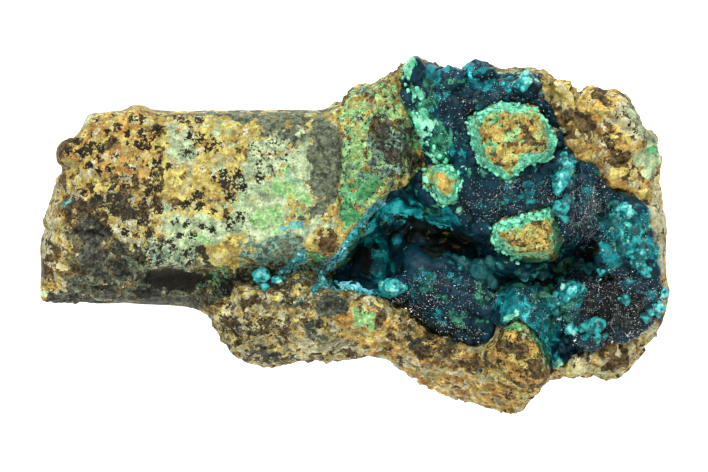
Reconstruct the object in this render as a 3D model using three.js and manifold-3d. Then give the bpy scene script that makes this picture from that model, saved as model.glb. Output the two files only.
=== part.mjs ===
// A chrysocolla specimen, lying on its back: limonite-stained host rock with an open hollow on the right,
// and the botryoidal blue-green crust that lines the hollow. Millimetres, +Z up. X runs along the specimen,
// and the origin is the middle of its box on the surface that it lies on.
import * as THREE from 'three';
import { ImprovedNoise } from 'three/addons/math/ImprovedNoise.js';
import { mergeVertices } from 'three/addons/utils/BufferGeometryUtils.js';
import Module from 'manifold-3d';

const wasm = await Module();
wasm.setup();
const { lerp, clamp, smoothstep } = THREE.MathUtils;
const roughness = new ImprovedNoise();

// Driving dimensions: the specimen's length, its usual width, the crust's thickness and its gap to the rock
const LENGTH = 105.4;
const WIDTH = 45;
const CRUST_THICKNESS = 2.2;
const FIT_GAP = 0.4;

// The silhouette from above, in four chains of points. The top and bottom chains run to the right, the left
// and right chains run upwards.
const TOP_EDGE = [
  [-44.3, 20.8], [-35.2, 21.7], [-25.7, 21.2], [-14, 21.5], [-2.7, 21.3], [-1.7, 23.3], [0.7, 25], [4, 26],
  [6.8, 28], [9.3, 30], [11.8, 30], [15.2, 28.3], [18, 28.2], [21, 29.7], [23.8, 28.7], [28.3, 29.2],
  [31.8, 27.7], [34.7, 25.7], [38.2, 23.8], [40.5, 25.3], [43, 24.2], [45.5, 23],
];
const BOTTOM_EDGE = [
  [-52.7, -10.8], [-34, -11.5], [-24.8, -11.8], [-24.3, -13.7], [-22.7, -17], [-20.3, -19.2],
  [-17.8, -21.3], [-15, -22.3], [-9, -21.3], [-1.5, -20.7], [4.3, -20], [7, -21.3], [9, -23],
  [11.3, -25.2], [14.3, -26.2], [21, -28.7], [24.3, -29.8], [27.3, -30.2], [28.6, -29], [28.8, -27.3],
  [30.3, -25.3], [32.3, -24], [36.8, -23.2], [41, -23.7], [44.3, -23.3],
];
const LEFT_EDGE = [
  [-52.7, -10.8], [-52.3, -7.8], [-52, -1.2], [-51, 2.7], [-49.7, 6.3], [-48.8, 10.5], [-49.3, 13.8],
  [-48, 15.7], [-45.7, 17.7], [-44.3, 20.8],
];
const RIGHT_EDGE = [
  [44.3, -23.3], [47, -20.7], [49.3, -17.3], [51.7, -14], [52.7, -9.8], [51.8, -4], [52.5, 0.2],
  [51.7, 5.5], [50.8, 9.7], [51.3, 13.8], [49.7, 17.2], [47.7, 20], [45.5, 23],
];

// Facets along, across and up the specimen. The plain slab on the left has fewer columns than its share.
const COLUMNS = 40;
const ROWS = 24;
const LAYERS = 4;
const SLAB_COLUMNS = 13;
const SLAB_SHARE = 0.47;

// How far the silhouette is drawn in at each layer, from the underside to the open side, and how far the
// open side drops over the width of its rim
const DRAWN_IN = [5.5, 1.8, 0.2, 0, 1.4];
const RIM_DROP = 1.8;
const RIM_WIDTH = 3;

// The relief of the open side, in the order in which one face cuts or covers the last. A face has an outline,
// a height at the outline's middle, a slope along X and Y, and the width of the step at its edge. A crowned
// face rises inwards over its reach.
const ROCK_FACES = {
  slab: {
    outline: [[-50, 21], [-2, 22], [-1, -2], [-9, -5], [-34, -5], [-52, -3]],
    height: 24, slope: [0.01, 0.02], step: 2,
  },
  slab_end: {
    outline: [[-53, -11], [-53, 0], [-48, 14], [-44.5, 21], [-43.5, 17], [-46, 9], [-47, 3], [-46, -9]],
    height: 20.5, slope: [0.75, 0], step: 2.5,
  },
  worn_corner: {
    outline: [[-47, 4], [-36, 2], [-34, -4], [-34, -12], [-53, -12], [-49, -8]],
    height: 19.5, slope: [0.1, 0.55], step: 2,
  },
  dark_recess: {
    outline: [[-34.3, -4.7], [-23, -5], [-19, -8], [-24, -13], [-34.3, -13]],
    height: 16.5, slope: [0, 0.1], step: 1.5,
  },
  crevice: {
    outline: [[-22, -5.5], [-9, -4], [-2, -3], [-3, -8], [-9, -8.2], [-15, -8.7], [-20, -9]],
    height: 18.5, slope: [0.05, 0], step: 2,
  },
  ledge: {
    outline: [
      [-25, -12], [-19, -9], [-15, -8.6], [-9, -8.4], [-3, -8.4], [5, -10.3], [8, -14], [8, -24], [-16, -24],
      [-24, -17],
    ],
    height: 22, slope: [0.08, 0.75], step: 2,
  },
  ledge_tip: {
    outline: [
      [4, -10.5], [11, -14], [14, -16.2], [19, -18.3], [23, -18], [31, -25], [29, -31], [14, -27], [4, -21],
    ],
    height: 21, slope: [0.32, 0.85], step: 2.5,
  },
  green_block: {
    outline: [
      [-2.4, 21], [-1.5, 24], [4, 27], [8, 26.5], [8.5, 12], [9.5, 9.7], [5.2, 5.5], [0.2, -1.2], [-3.2, -4],
      [-2.4, 9],
    ],
    height: 26.5, slope: [0.28, -0.04], step: 1.6,
  },
  upper_right: {
    outline: [
      [31, 28.5], [38.2, 23.5], [46, 24], [52, 14], [53, -10], [49, -9], [48.5, 5.5], [41, 9], [36, 12.2],
      [32.7, 20.5],
    ],
    height: 25.5, slope: [-0.4, 0.1], step: 2.5,
  },
  notch: {
    outline: [[36.4, 25.5], [38.2, 19], [40, 25.5]],
    height: 20, slope: [0, -0.3], step: 2.5,
  },
  lower_right: {
    outline: [[33.5, -23.7], [36.8, -18.3], [47.7, -16.7], [47, -21], [44.3, -24], [36, -24]],
    height: 21.5, slope: [-0.2, 0.5], step: 2,
  },
};
const HOLLOW_FACES = {
  floor: {
    outline: [
      [-3.8, -7.2], [-0.3, -1.7], [4.8, 5.5], [9.5, 9.5], [16, 5], [34, 9], [42, 7], [49, 2], [51, -9],
      [48.5, -14], [38, -18], [33, -24], [24, -15], [20, -18], [13, -16], [5, -10],
    ],
    height: 14.5, slope: [0.03, 0], step: 2,
  },
  upper_dome: {
    outline: [
      [9.2, 31], [7.5, 24], [9.7, 16], [13.5, 11], [9, 7.5], [12, 4.5], [16, 3], [19, 0.5], [22, -3],
      [25.5, -5], [33.5, -5], [35, -1], [39, 0.5], [42, 6], [40, 10], [36, 12], [34, 19], [31, 28], [20, 31],
    ],
    height: 24, slope: [0.08, -0.1], crown: 6, reach: 11, step: 3,
  },
  lower_dome: {
    outline: [
      [6.5, -4.5], [11, -2.5], [19, -3], [25, -5.5], [26, -11], [22.5, -16], [15.5, -15.2], [9.3, -11.5],
      [6.3, -8.5],
    ],
    height: 16.5, slope: [0.05, -0.02], crown: 4, reach: 6, step: 2,
  },
  right_wall: {
    outline: [[41, 8.5], [48.7, 5.5], [52.6, 0], [52, -9], [47.7, -7.8], [42, -6], [38.5, 0.5]],
    height: 22, slope: [0.35, 0], step: 3,
  },
  druse_floor: {
    outline: [[35, -8], [49, -7], [52, -12], [47.7, -17], [37, -18.6], [33.8, -13.5]],
    height: 20.5, slope: [0.1, 0.1], step: 2,
  },
  spur: {
    outline: [[23, -13], [26.5, -8], [28.5, -8], [31, -12], [33, -20], [33.2, -24], [28, -22], [23, -17.5]],
    height: 24, slope: [0.1, 0.2], step: 2,
  },
  left_pocket: {
    outline: [[-3.2, -7], [-0.3, -2.8], [2.7, 1], [6.3, -0.3], [7.3, -4], [6.5, -7.8], [1, -8.4]],
    height: 9, slope: [0, 0], step: 2.5,
  },
  middle_pocket: {
    outline: [
      [7.3, 2.2], [11, 2.7], [17.7, 0.5], [22.7, -1.2], [22.7, -3.8], [17.7, -3.3], [12.7, -2], [7.7, -2],
    ],
    height: 10.5, slope: [0, 0], step: 2,
  },
  right_pocket: {
    outline: [
      [33.8, -1.5], [37.7, 0.5], [41, -1.5], [42, -5], [40, -7.5], [35, -8], [29.5, -6.5], [27, -5.5],
      [31, -4.8],
    ],
    height: 11, slope: [0, 0], step: 2,
  },
};
// Rock fragments that the crust grew round, broken off flat above it
const FRAGMENTS = {
  large: {
    outline: [
      [18.5, 19.5], [24.3, 22], [30, 21], [33, 16.3], [32.3, 13], [28, 12], [25.5, 9.2], [20.5, 12.2],
    ],
    height: 35, slope: [-0.05, 0.08], step: 1.6,
  },
  small: {
    outline: [[11.7, 11.3], [15.2, 12], [17.7, 9.7], [16.8, 6.3], [14.5, 5.3], [12, 8]],
    height: 29.5, slope: [0.05, 0.1], step: 1.6,
  },
  middle: {
    outline: [[22.8, 2.2], [27.7, 4], [32.7, 5], [33.8, 0.5], [33, -3.9], [27.7, -3.9], [23.5, -2]],
    height: 32.5, slope: [0.05, 0.05], step: 1.4,
  },
  low: {
    outline: [
      [24, -15.5], [27, -14.2], [29.5, -16.5], [31.8, -20.5], [32, -24.5], [29, -25.5], [23.5, -22],
      [22.3, -18],
    ],
    height: 27, slope: [0, 0.25], step: 2,
  },
};

// The underside: the joint face at height 0 that the specimen lies on, and the broken faces that rise from
// it, each a plane by its slope along X and Y and its height at the origin
const UNDERSIDE_FACES = [
  { slope: [-0.4, 0.1], start: -16 },
  { slope: [-0.35, 0.55], start: -18.2 },
  { slope: [-0.35, -0.6], start: -17.6 },
  { slope: [0.05, -0.7], start: -14.3 },
  { slope: [0.12, 0.7], start: -15.7 },
  { slope: [0, 0.45], start: -6.75 },
  { slope: [0.5, 0.15], start: -19 },
  { slope: [0.45, -0.4], start: -20.9 },
];

// Where the crust covers the rock
const CRUST_OUTLINE = [
  [-3.7, -7.2], [-1.5, -4], [-0.3, -1.7], [2.3, 2.2], [4.8, 5.5], [7, 8], [9.7, 9.3], [12.5, 12.8],
  [11, 16.3], [9.7, 19.7], [8.5, 23], [7.7, 25.5], [9, 28], [12, 28.6], [15.2, 26.8], [18, 26.6], [21, 28],
  [23.8, 27], [28.3, 27.4], [30.6, 26], [30.6, 23], [33.5, 18.8], [35.2, 14.7], [36.3, 12.2], [39.3, 11.3],
  [41, 8.8], [43.5, 6.8], [46.8, 6.3], [48.5, 3.8], [49, -0.3], [49.6, -4.5], [51, -8.7], [50.4, -12],
  [48.5, -14.5], [45.2, -16.7], [41, -17.3], [37.7, -18.7], [35.2, -20.2], [33, -21.6], [31.4, -19.2],
  [29.6, -16], [27.4, -13.6], [24.8, -14], [22.5, -16.8], [19.3, -17.3], [16.8, -16.2], [13.5, -15],
  [11, -13.3], [8.5, -11.2], [5.7, -10], [1, -9], [-1.5, -8.4],
];

// The balls that stand out from the crust and from the crevice in the rock, by their place and radius
const CRUST_BALLS = [
  [10.5, 27.5, 2.1], [21, 26.7, 2.4], [16, 25.6, 2], [28, 24.8, 2.2], [34, 12, 2.2], [33.5, 8, 2],
  [43.5, 1, 1.8], [46.5, -1.5, 2.2], [42, -3, 2.1], [35.8, -9.5, 2], [39.5, -16, 2.3], [48.5, -10.5, 1.7],
  [7.8, -8.5, 2.2],
];
const ROCK_BALLS = [[-15.5, -6.3, 1.8], [-13, -7.6, 1.3], [-15.2, -8.3, 1.2]];

// The point of a chain at a share of its reach along one axis
function along(chain, axis, share) {
  const place = lerp(chain[0][axis], chain.at(-1)[axis], share);
  const found = chain.findIndex((point) => point[axis] >= place);
  const next = found < 0 ? chain.length - 1 : Math.max(1, found);
  const [start, end] = [chain[next - 1], chain[next]];
  const part = clamp((place - start[axis]) / (end[axis] - start[axis]), 0, 1);
  return new THREE.Vector2(lerp(start[0], end[0], part), lerp(start[1], end[1], part));
}

// The point between the two ends of a chain at a share of the way
function between(chain, share) {
  const [start, end] = [chain[0], chain.at(-1)].map(([x, y]) => new THREE.Vector2(x, y));
  return start.lerp(end, share);
}

// The silhouette filled in: a point between the four chains, from shares of 0 to 1 along and up
function fill(across, up) {
  const edges = along(BOTTOM_EDGE, 0, across).lerp(along(TOP_EDGE, 0, across), up);
  const ends = along(LEFT_EDGE, 1, up).lerp(along(RIGHT_EDGE, 1, up), across);
  return edges.add(ends).sub(between(BOTTOM_EDGE, across).lerp(between(TOP_EDGE, across), up));
}

// Distance from a point to an outline, positive inside it
function depthInside(outline, x, y) {
  let nearest = Infinity;
  let inside = false;
  outline.forEach(([x1, y1], i) => {
    const [x0, y0] = outline.at(i - 1);
    const [dx, dy] = [x1 - x0, y1 - y0];
    const part = clamp(((x - x0) * dx + (y - y0) * dy) / (dx * dx + dy * dy), 0, 1);
    nearest = Math.min(nearest, Math.hypot(x - x0 - part * dx, y - y0 - part * dy));
    if (y0 > y !== y1 > y && x < x0 + ((y - y0) * dx) / dy) inside = !inside;
  });
  return inside ? nearest : -nearest;
}

// The middle of an outline's points
function middleOf(outline) {
  const points = outline.map(([x, y]) => new THREE.Vector2(x, y));
  return points.reduce((sum, point) => sum.add(point), new THREE.Vector2()).divideScalar(points.length);
}

// Lays faces over a height, one after another
function layFaces(faces, x, y, start) {
  return Object.values(faces).reduce((below, { outline, height, slope, crown = 0, reach = 1, step }) => {
    const depth = depthInside(outline, x, y);
    const middle = middleOf(outline);
    const plane = height + slope[0] * (x - middle.x) + slope[1] * (y - middle.y);
    const face = plane + crown * smoothstep(depth, 0, reach);
    return lerp(below, face, smoothstep(depth, -step / 2, step / 2));
  }, start);
}

// Heights of the surfaces. The underside is flat where it meets the ground.
const ROCK_LEVEL = 20;
const ROCK_ROUGHNESS = 1.1;
const ROUGHNESS_SIZE = 6.5;
const LUMP_HEIGHT = 1.4;
const LUMP_SIZE = 4.2;
const THINNEST_CRUST = 0.3;
const OPEN_SIDE = 0;
const LUMPS = 40;
const UNDERSIDE = 80;
const rough = (x, y, z, size) => roughness.noise(x / size, y / size, z / size);

const hollowHeight = (x, y) => layFaces(HOLLOW_FACES, x, y, layFaces(ROCK_FACES, x, y, ROCK_LEVEL));
const openHeight = (x, y) => layFaces(FRAGMENTS, x, y, hollowHeight(x, y))
  + ROCK_ROUGHNESS * rough(x, y, OPEN_SIDE, ROUGHNESS_SIZE);
const crustFloor = (x, y) => openHeight(x, y) + FIT_GAP;
const crustHeight = (x, y) => Math.max(
  hollowHeight(x, y) + CRUST_THICKNESS + LUMP_HEIGHT * rough(x, y, LUMPS, LUMP_SIZE),
  crustFloor(x, y) + THINNEST_CRUST,
);
const underHeight = (x, y) => {
  const planes = UNDERSIDE_FACES.map(({ slope, start }) => slope[0] * x + slope[1] * y + start);
  const face = Math.max(0, ...planes);
  return Math.max(0, face + Math.min(face / 2, 1) * rough(x, y, UNDERSIDE, ROUGHNESS_SIZE));
};

// A box whose grid follows the silhouette, drawn in by an inset at each level, from 0 below to 1 above
function specimenBox(layers, insetAt, heightAt) {
  const box = new THREE.BoxGeometry(1, 1, 1, COLUMNS, ROWS, layers);
  const corners = box.getAttribute('position');
  const slabEnd = SLAB_COLUMNS / COLUMNS;
  for (let i = 0; i < corners.count; i++) {
    const [column, row, level] = [corners.getX(i) + 0.5, corners.getY(i) + 0.5, corners.getZ(i) + 0.5];
    const across = column < slabEnd ? (column / slabEnd) * SLAB_SHARE
      : lerp(SLAB_SHARE, 1, (column - slabEnd) / (1 - slabEnd));
    const inset = insetAt(across * LENGTH, row * WIDTH, level);
    const { x, y } = fill(
      lerp(inset / LENGTH, 1 - inset / LENGTH, across),
      lerp(inset / WIDTH, 1 - inset / WIDTH, row),
    );
    const toRim = Math.min(Math.min(across, 1 - across) * LENGTH, Math.min(row, 1 - row) * WIDTH);
    const drop = RIM_DROP * (1 - smoothstep(toRim, 0, RIM_WIDTH));
    corners.setXYZ(i, x, y, heightAt(x, y, level, drop));
  }
  return turnUnderside(box);
}

// Splits the underside's squares along the open side's diagonals, so that layers lie closely together
const SQUARE_CORNERS = 6;
function turnUnderside(box) {
  const order = box.index;
  for (let i = order.count - COLUMNS * ROWS * SQUARE_CORNERS; i < order.count; i += SQUARE_CORNERS) {
    const [a, b, c, d] = [0, 1, 4, 2].map((corner) => order.getX(i + corner));
    [a, b, c, a, c, d].forEach((vertex, corner) => order.setX(i + corner, vertex));
  }
  return box;
}

// Geometry to solid and back, for joining and cutting
const SAME_POINT = 1e-4;
function solidOf(geometry) {
  const bare = new THREE.BufferGeometry().setAttribute('position', geometry.getAttribute('position'));
  const merged = mergeVertices(bare.setIndex(geometry.index), SAME_POINT);
  return new wasm.Manifold(new wasm.Mesh({
    numProp: 3,
    vertProperties: merged.getAttribute('position').array,
    triVerts: new Uint32Array(merged.index.array),
  }));
}

function geometryOf(solid) {
  const { vertProperties, triVerts } = solid.getMesh();
  return new THREE.BufferGeometry()
    .setAttribute('position', new THREE.BufferAttribute(vertProperties, 3))
    .setIndex(new THREE.BufferAttribute(triVerts, 1));
}

// Balls with their middles a little above a surface
const BALL_RISE = 0.1;
const BALL_DETAIL = 1;
function ballsOn(balls, surface) {
  return balls
    .map(([x, y, radius]) => new THREE.IcosahedronGeometry(radius, BALL_DETAIL)
      .translate(x, y, surface(x, y) + BALL_RISE * radius))
    .map(solidOf)
    .reduce((joined, ball) => joined.add(ball));
}

// An upright cutter through an outline that is moved out from its middle by a margin
const CUTTER_HEIGHT = 80;
function cutter(outline, margin) {
  const middle = middleOf(outline);
  const moved = outline.map(([x, y]) => {
    const out = new THREE.Vector2(x, y).sub(middle);
    return middle.clone().add(out.setLength(out.length() + margin));
  });
  const upright = { depth: CUTTER_HEIGHT, bevelEnabled: false };
  return solidOf(new THREE.ExtrudeGeometry(new THREE.Shape(moved), upright));
}

// The rock, with chipped sides
const SIDE_ROUGHNESS = 1.3;
const CHIP_SIZE = 11;
const rimInset = DRAWN_IN.at(-1);
const chip = (x, y, level) => SIDE_ROUGHNESS * Math.abs(rough(x, y, level * LENGTH, CHIP_SIZE));
const layerInset = (x, y, level) => DRAWN_IN[Math.round(level * LAYERS)] + chip(x, y, level);
const rockInset = (x, y, level) => (level < 1 ? layerInset(x, y, level) : rimInset);
const rockHeight = (x, y, level, drop) => lerp(underHeight(x, y), openHeight(x, y) - drop, level);
const matrixSolid = solidOf(specimenBox(LAYERS, rockInset, rockHeight)).add(ballsOn(ROCK_BALLS, openHeight));

const matrix = new THREE.Mesh(
  geometryOf(matrixSolid),
  new THREE.MeshStandardMaterial({ color: 0x8a7648, roughness: 0.9, metalness: 0 }),
);
matrix.name = 'matrix';

// The crust, a layer over the hollow's rock that is open where the fragments stand through it
const layerHeight = (x, y, level, drop) => (level ? crustHeight(x, y) : crustFloor(x, y)) - drop;
const layer = solidOf(specimenBox(1, () => rimInset, layerHeight)).intersect(cutter(CRUST_OUTLINE, 0));
const openLayer = Object.values(FRAGMENTS).reduce(
  (left, { outline, step }) => left.subtract(cutter(outline, step / 2)),
  layer,
);
const crustBalls = ballsOn(CRUST_BALLS, crustHeight).subtract(matrixSolid.translate(0, 0, FIT_GAP));
const crustSolid = openLayer.add(crustBalls)
  .decompose()
  .reduce((largest, piece) => (piece.volume() > largest.volume() ? piece : largest));

const chrysocollaCrust = new THREE.Mesh(
  geometryOf(crustSolid),
  new THREE.MeshStandardMaterial({ color: 0x14586a, roughness: 0.45, metalness: 0 }),
);
chrysocollaCrust.name = 'chrysocolla_crust';

const specimen = new THREE.Group();
specimen.name = 'chrysocolla_specimen';
specimen.add(matrix, chrysocollaCrust);
const middle = new THREE.Box3().setFromObject(specimen).getCenter(new THREE.Vector3());
specimen.position.set(-middle.x, -middle.y, 0);

export default specimen;
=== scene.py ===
import math
import random

import bmesh
import bpy
import numpy as np
from mathutils import Matrix, Vector, noise
from mathutils.bvhtree import BVHTree


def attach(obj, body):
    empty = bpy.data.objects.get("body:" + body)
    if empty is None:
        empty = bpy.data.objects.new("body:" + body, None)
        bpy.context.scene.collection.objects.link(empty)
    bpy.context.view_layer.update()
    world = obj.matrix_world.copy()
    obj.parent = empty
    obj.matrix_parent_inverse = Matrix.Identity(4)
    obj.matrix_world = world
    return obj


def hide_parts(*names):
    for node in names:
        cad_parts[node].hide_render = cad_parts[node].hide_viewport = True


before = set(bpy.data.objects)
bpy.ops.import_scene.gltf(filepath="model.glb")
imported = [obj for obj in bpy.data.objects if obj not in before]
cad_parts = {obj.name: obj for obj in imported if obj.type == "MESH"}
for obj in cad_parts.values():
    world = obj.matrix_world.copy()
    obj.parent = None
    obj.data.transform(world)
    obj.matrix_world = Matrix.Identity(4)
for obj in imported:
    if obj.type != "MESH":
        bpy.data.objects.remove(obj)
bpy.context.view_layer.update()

# Host rock
# The body of the specimen is a broken piece of altered, iron-stained rock. A flat joint slab is on the left,
# a granular ledge below it, and rough broken rock round the hollow on the right, all stained with copper.
scene = bpy.context.scene
MM = 0.001
SAME_PLACE = 1e-6
ROCK_VOXEL = 0.68
OPEN_SIDE_HEIGHT = 11
UPWARD = 0.2
SETTLE_ROUNDS = 3
SETTLE_SHARE = 0.5
# Parts of the rock as outlines seen from above, in millimetres
SLAB = [(-50, 21.3), (-2.2, 21.6), (-1.6, -1), (-9, -3.5), (-20, -3.5), (-31, -3.5), (-31, 5), (-46, 8)]
SLAB_SIDES = [(-56, 25), (-3.5, 25), (-3, -3), (-20, -5), (-24.6, -13.2), (-56, -14)]
SLAB_END = [(-50, 21), (-32.3, 21.3), (-31.7, 6), (-34.5, -11.5), (-53, -11.5), (-53, 4)]
LEDGE = [
    (-25, -12), (-19, -9), (-15, -8.6), (-9, -8.2), (-3, -8.4), (5, -10.3), (14, -16), (23, -18), (31, -25),
    (29, -31), (14, -27), (-16, -24), (-24, -17),
]
HOLLOW = [
    (-3.7, -7.2), (-0.3, -1.7), (4.8, 5.5), (9.7, 9.3), (12.5, 12.8), (9.7, 19.7), (7.7, 25.5), (9, 28),
    (15.2, 26.8), (21, 28), (28.3, 27.4), (30.6, 24), (35.2, 14.7), (39.3, 11.3), (43.5, 6.8), (48.5, 3.8),
    (49.6, -4.5), (51, -8.7), (48.5, -14.5), (41, -17.3), (33, -21.6), (29.6, -16), (27.4, -13.6),
    (22.5, -16.8), (16.8, -16.2), (8.5, -11.2), (1, -9),
]
FRAGMENTS = {
    "large": [
        (18.5, 19.5), (24.3, 22), (30, 21), (33, 16.3), (32.3, 13), (28, 12), (25.5, 9.2), (20.5, 12.2),
    ],
    "small": [(11.7, 11.3), (15.2, 12), (17.7, 9.7), (16.8, 6.3), (14.5, 5.3), (12, 8)],
    "middle": [(22.6, 1.6), (33.4, 5.2), (33.6, -3.9), (26.6, -3.9), (23.4, -1.6)],
    "low": [(25.6, -13.6), (27.4, -14.4), (32.4, -22.8), (32, -25), (28, -25.5), (22.6, -22), (22, -18.6)],
}
# Cracks between the joints of the rock
CRACKS = [
    [(-32.8, 20), (-32.2, 16.5), (-31.9, 13.5), (-32.3, 10), (-32.6, 7), (-31.8, 4.8)],
    [(-33.8, -1), (-34.2, -5), (-34.1, -9)],
    [(-45, 4.5), (-41, 1.5), (-38.5, -1.5), (-38, -6), (-39.5, -9)],
    [(-38.6, -3.3), (-36, -4), (-34.2, -4.2)],
    [(-47, -7.2), (-43, -8), (-38, -8.6), (-34.2, -9)],
    [(-2.7, 20.5), (-2.4, 14), (-2.9, 8), (-2.2, 3)],
    [(34.5, 23), (36.5, 20), (39.5, 18.6), (43.5, 13)],
    [(44.5, 21.5), (46.5, 18.5), (47.5, 15.5)],
    [(45.7, 22.3), (47.8, 19), (48.8, 16)],
]
# The broken rim of the lining, where it comes out between rock and air, and its vein in the crevice
RIMS = [
    [
        (-6.7, -8.5), (-5, -7.2), (-5.7, -5.8), (-4, -4.5), (-2.5, -3), (-1.7, -1), (-0.5, 0.3), (1.7, 2.5),
        (2.8, 4.5), (4.8, 5.5),
    ],
    [(-5, -7.2), (-2.8, -7.7), (-0.5, -8.4), (1, -9), (3.5, -9.2)],
    [(-12, -5.8), (-10.2, -4.2), (-8.6, -2.6)],
]
# Lumps that stand out of the rock, by their middle, radius and height
KNOBS = [
    (-47.3, 14.1, 2.1, 1.3), (-46.9, 9.7, 1.8, 1.1), (-36, 21, 1.6, 0.7), (-30.4, -2.3, 1.5, 1.1),
    (-28.4, -3, 1.4, 1.1), (-27, -4, 1.2, 1), (-33.6, -1.4, 1.5, 1), (-33.3, -3.6, 1.3, 0.8),
    (-22, -2.8, 1.9, 1.1), (-25.4, 0.6, 2.6, 0.7), (-8.9, -7.2, 1.9, 1), (-20.4, -6.2, 1.3, 0.7),
    (-24.2, -9.3, 1.3, 0.8), (-0.6, -14, 1.6, 0.6), (4, -15.4, 2, 0.6), (39.5, 23.2, 2, 0.8),
    (35, 23.6, 2, 0.6), (46, 15.4, 2, 0.7), (43.6, 9.6, 1.8, 0.6), (51, 2, 2, 0.6), (-49.5, -3, 8, 0.7),
    (-49.3, 6, 4.5, 1.2),
]
# Jointed dark rock at the lower left, and the recesses beside it, which get painted shadow, as soft ovals
DARK_FACETS = [(-48, 3), (-41, 2), (-36, 0), (-34, -4), (-34.3, -12.5), (-54, -12.5), (-50, -2)]
SHADOWED_RECESSES = [(-29.3, -7.2, 5, 1.6, 1), (-17, -7.3, 6, 0.9, 0.8)]
CRACK_WIDTH = 0.45
CRACK_DEPTH = 0.5
CRACK_WANDER = 0.35
KNOB_WAVE = 0.25
# How far each kind of break lifts or sinks the surface, in millimetres
LUMP_LIFT = 0.3
FACET_LIFT = 0.8
SPLINTER_LIFT = 0.45
BLOCK_LIFT = 1.6
EVEN_LUMPS = 0.1
EVEN_GRIT = 0.09
SLAB_SPLINTERS = 0.25
GRAIN_LIFT = 0.3
GRAIN_BED = 0.2
JOINT_STEP = 2.6
JOINT_SPLINTERS = 0.3
JOINT_LIMITS = (-1.2, 0.35)
LOWEST = -1.6
HIGHEST = 1.3
END_HIGHEST = 0.3
END_X = 50
# Where the parts of the rock fade in: heights and edges in millimetres, slopes as shares of straight up
CRUST_OVERLAP = 1
FRAGMENT_MARGIN = 2
SLAB_EDGE = (-1, 1.5)
SLAB_SIDES_EDGE = (-0.5, 1)
HOLLOW_EDGE = (-0.3, 1)
CREAM_EDGE = (0.5, -0.5)
PART_EDGE = (-1, 1)
UPPER_HEIGHTS = (8, 14)
UPPER_SLOPES = (-0.2, 0.3)
CRUST_HEIGHTS = (4, 8)
FRAGMENT_HEIGHTS = (12, 16)
FRAGMENT_EDGE = (-1.5, -0.3)
FRAGMENT_CALM = 0.6
BLOCKY_SLOPES = (0.2, 0.6)
BLOCKY_X = (28, 32)
JOINT_SLOPES = (0.4, 0.8)
KNOB_HEIGHTS = (3, 9)
RING_HEIGHTS = (22, 25)
RING_EDGE = (-0.8, -0.2)
# How dark cracks are, how dark the painted shadow in recesses is, and how far the painted shade of breaks may
# go
CRACK_SHADE = 0.4
RECESS_SHADE = 0.5
PAINTED_SHADE_LIMITS = (-0.6, 0.8)


def shell_of(mesh, voxel):
    """An even shell over solids, merged first, with faces of the size of a voxel"""
    solid = bpy.data.objects.new("solid", mesh.copy())
    scene.collection.objects.link(solid)
    merged = bmesh.new()
    merged.from_mesh(solid.data)
    bmesh.ops.remove_doubles(merged, verts=merged.verts, dist=SAME_PLACE)
    merged.to_mesh(solid.data)
    merged.free()
    remesh = solid.modifiers.new("remesh", "REMESH")
    remesh.mode = "VOXEL"
    remesh.voxel_size = voxel * MM
    bpy.context.view_layer.update()
    even = solid.evaluated_get(bpy.context.evaluated_depsgraph_get())
    shell = bmesh.new()
    shell.from_mesh(even.to_mesh())
    even.to_mesh_clear()
    bpy.data.objects.remove(solid)
    return shell


def settle(shell, rounds):
    """Smooths the steps of the voxels"""
    for _ in range(rounds):
        bmesh.ops.smooth_vert(
            shell, verts=shell.verts, factor=SETTLE_SHARE, use_axis_x=True, use_axis_y=True, use_axis_z=True
        )


def soft(value, low, high):
    """A smooth rise from 0 at low to 1 at high"""
    share = np.clip((value - low) / (high - low), 0, 1)
    return share * share * (3 - 2 * share)


def beside(start, end, places):
    """Distance of each place to a straight line, seen from above"""
    run = end - start
    share = np.clip((places - start) @ run / (run @ run), 0, 1)
    return np.linalg.norm(places - start - share[:, None] * run, axis=1)


def depth_inside(outline, places):
    """Distance of each place to an outline seen from above, positive inside it"""
    nearest = np.full(len(places), np.inf)
    within = np.zeros(len(places), bool)
    corners = np.array(outline, float)
    for start, end in zip(corners, np.roll(corners, -1, axis=0)):
        run = end - start
        nearest = np.minimum(nearest, beside(start, end, places))
        level = (start[1] > places[:, 1]) != (end[1] > places[:, 1])
        crossing = start[0] + (places[:, 1] - start[1]) * run[0] / (run[1] or 1)
        within ^= level & (places[:, 0] < crossing)
    return np.where(within, nearest, -nearest)


def nearest_line(lines, places):
    """Distance of each place to the nearest of several lines seen from above"""
    nearest = np.full(len(places), np.inf)
    for line in lines:
        for start, end in zip(np.array(line[:-1], float), np.array(line[1:], float)):
            nearest = np.minimum(nearest, beside(start, end, places))
    return nearest


def lumps(points, size, octaves, seed):
    """Smooth noise at each point, mostly from -1 to 1, with lumps of that size"""
    shift = Vector((seed, 2 * seed, 3 * seed))
    fading, step = 0.9, 2.0
    return np.array([noise.fractal(Vector(p) / size + shift, fading, step, octaves) for p in points])


def chips(points, size, seed):
    """Chips of that size, as on broken rock: each one's tilted facet, a painted shade that follows the tilt,
    and its edge line
    """
    shift = Vector((seed, seed, seed))
    scatter, edge_width = 31.7, 0.12
    tilts, shades, edges = [], [], []
    for p in points:
        place = Vector(p) / size + shift
        reaches, middles = noise.voronoi(place)
        slope = noise.cell_vector(middles[0] * scatter) - Vector((0.5, 0.5, 0.5))
        tilts.append(slope.dot(place - middles[0]) * 2)
        shades.append(slope.x * 2)
        edges.append(reaches[1] - reaches[0])
    return np.array(tilts), np.array(shades), soft(np.array(edges), edge_width, 0)


def grapes(points, size, seed):
    """Round bumps side by side, 1 at the middle of each bump and 0 in the grooves between them"""
    shift = Vector((seed, seed, seed))
    reach = np.array([noise.voronoi(Vector(p) / size + shift)[0][0] for p in points])
    narrowing = 1.6
    return np.sqrt(np.clip(1 - reach * reach * narrowing, 0, 1))


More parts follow.
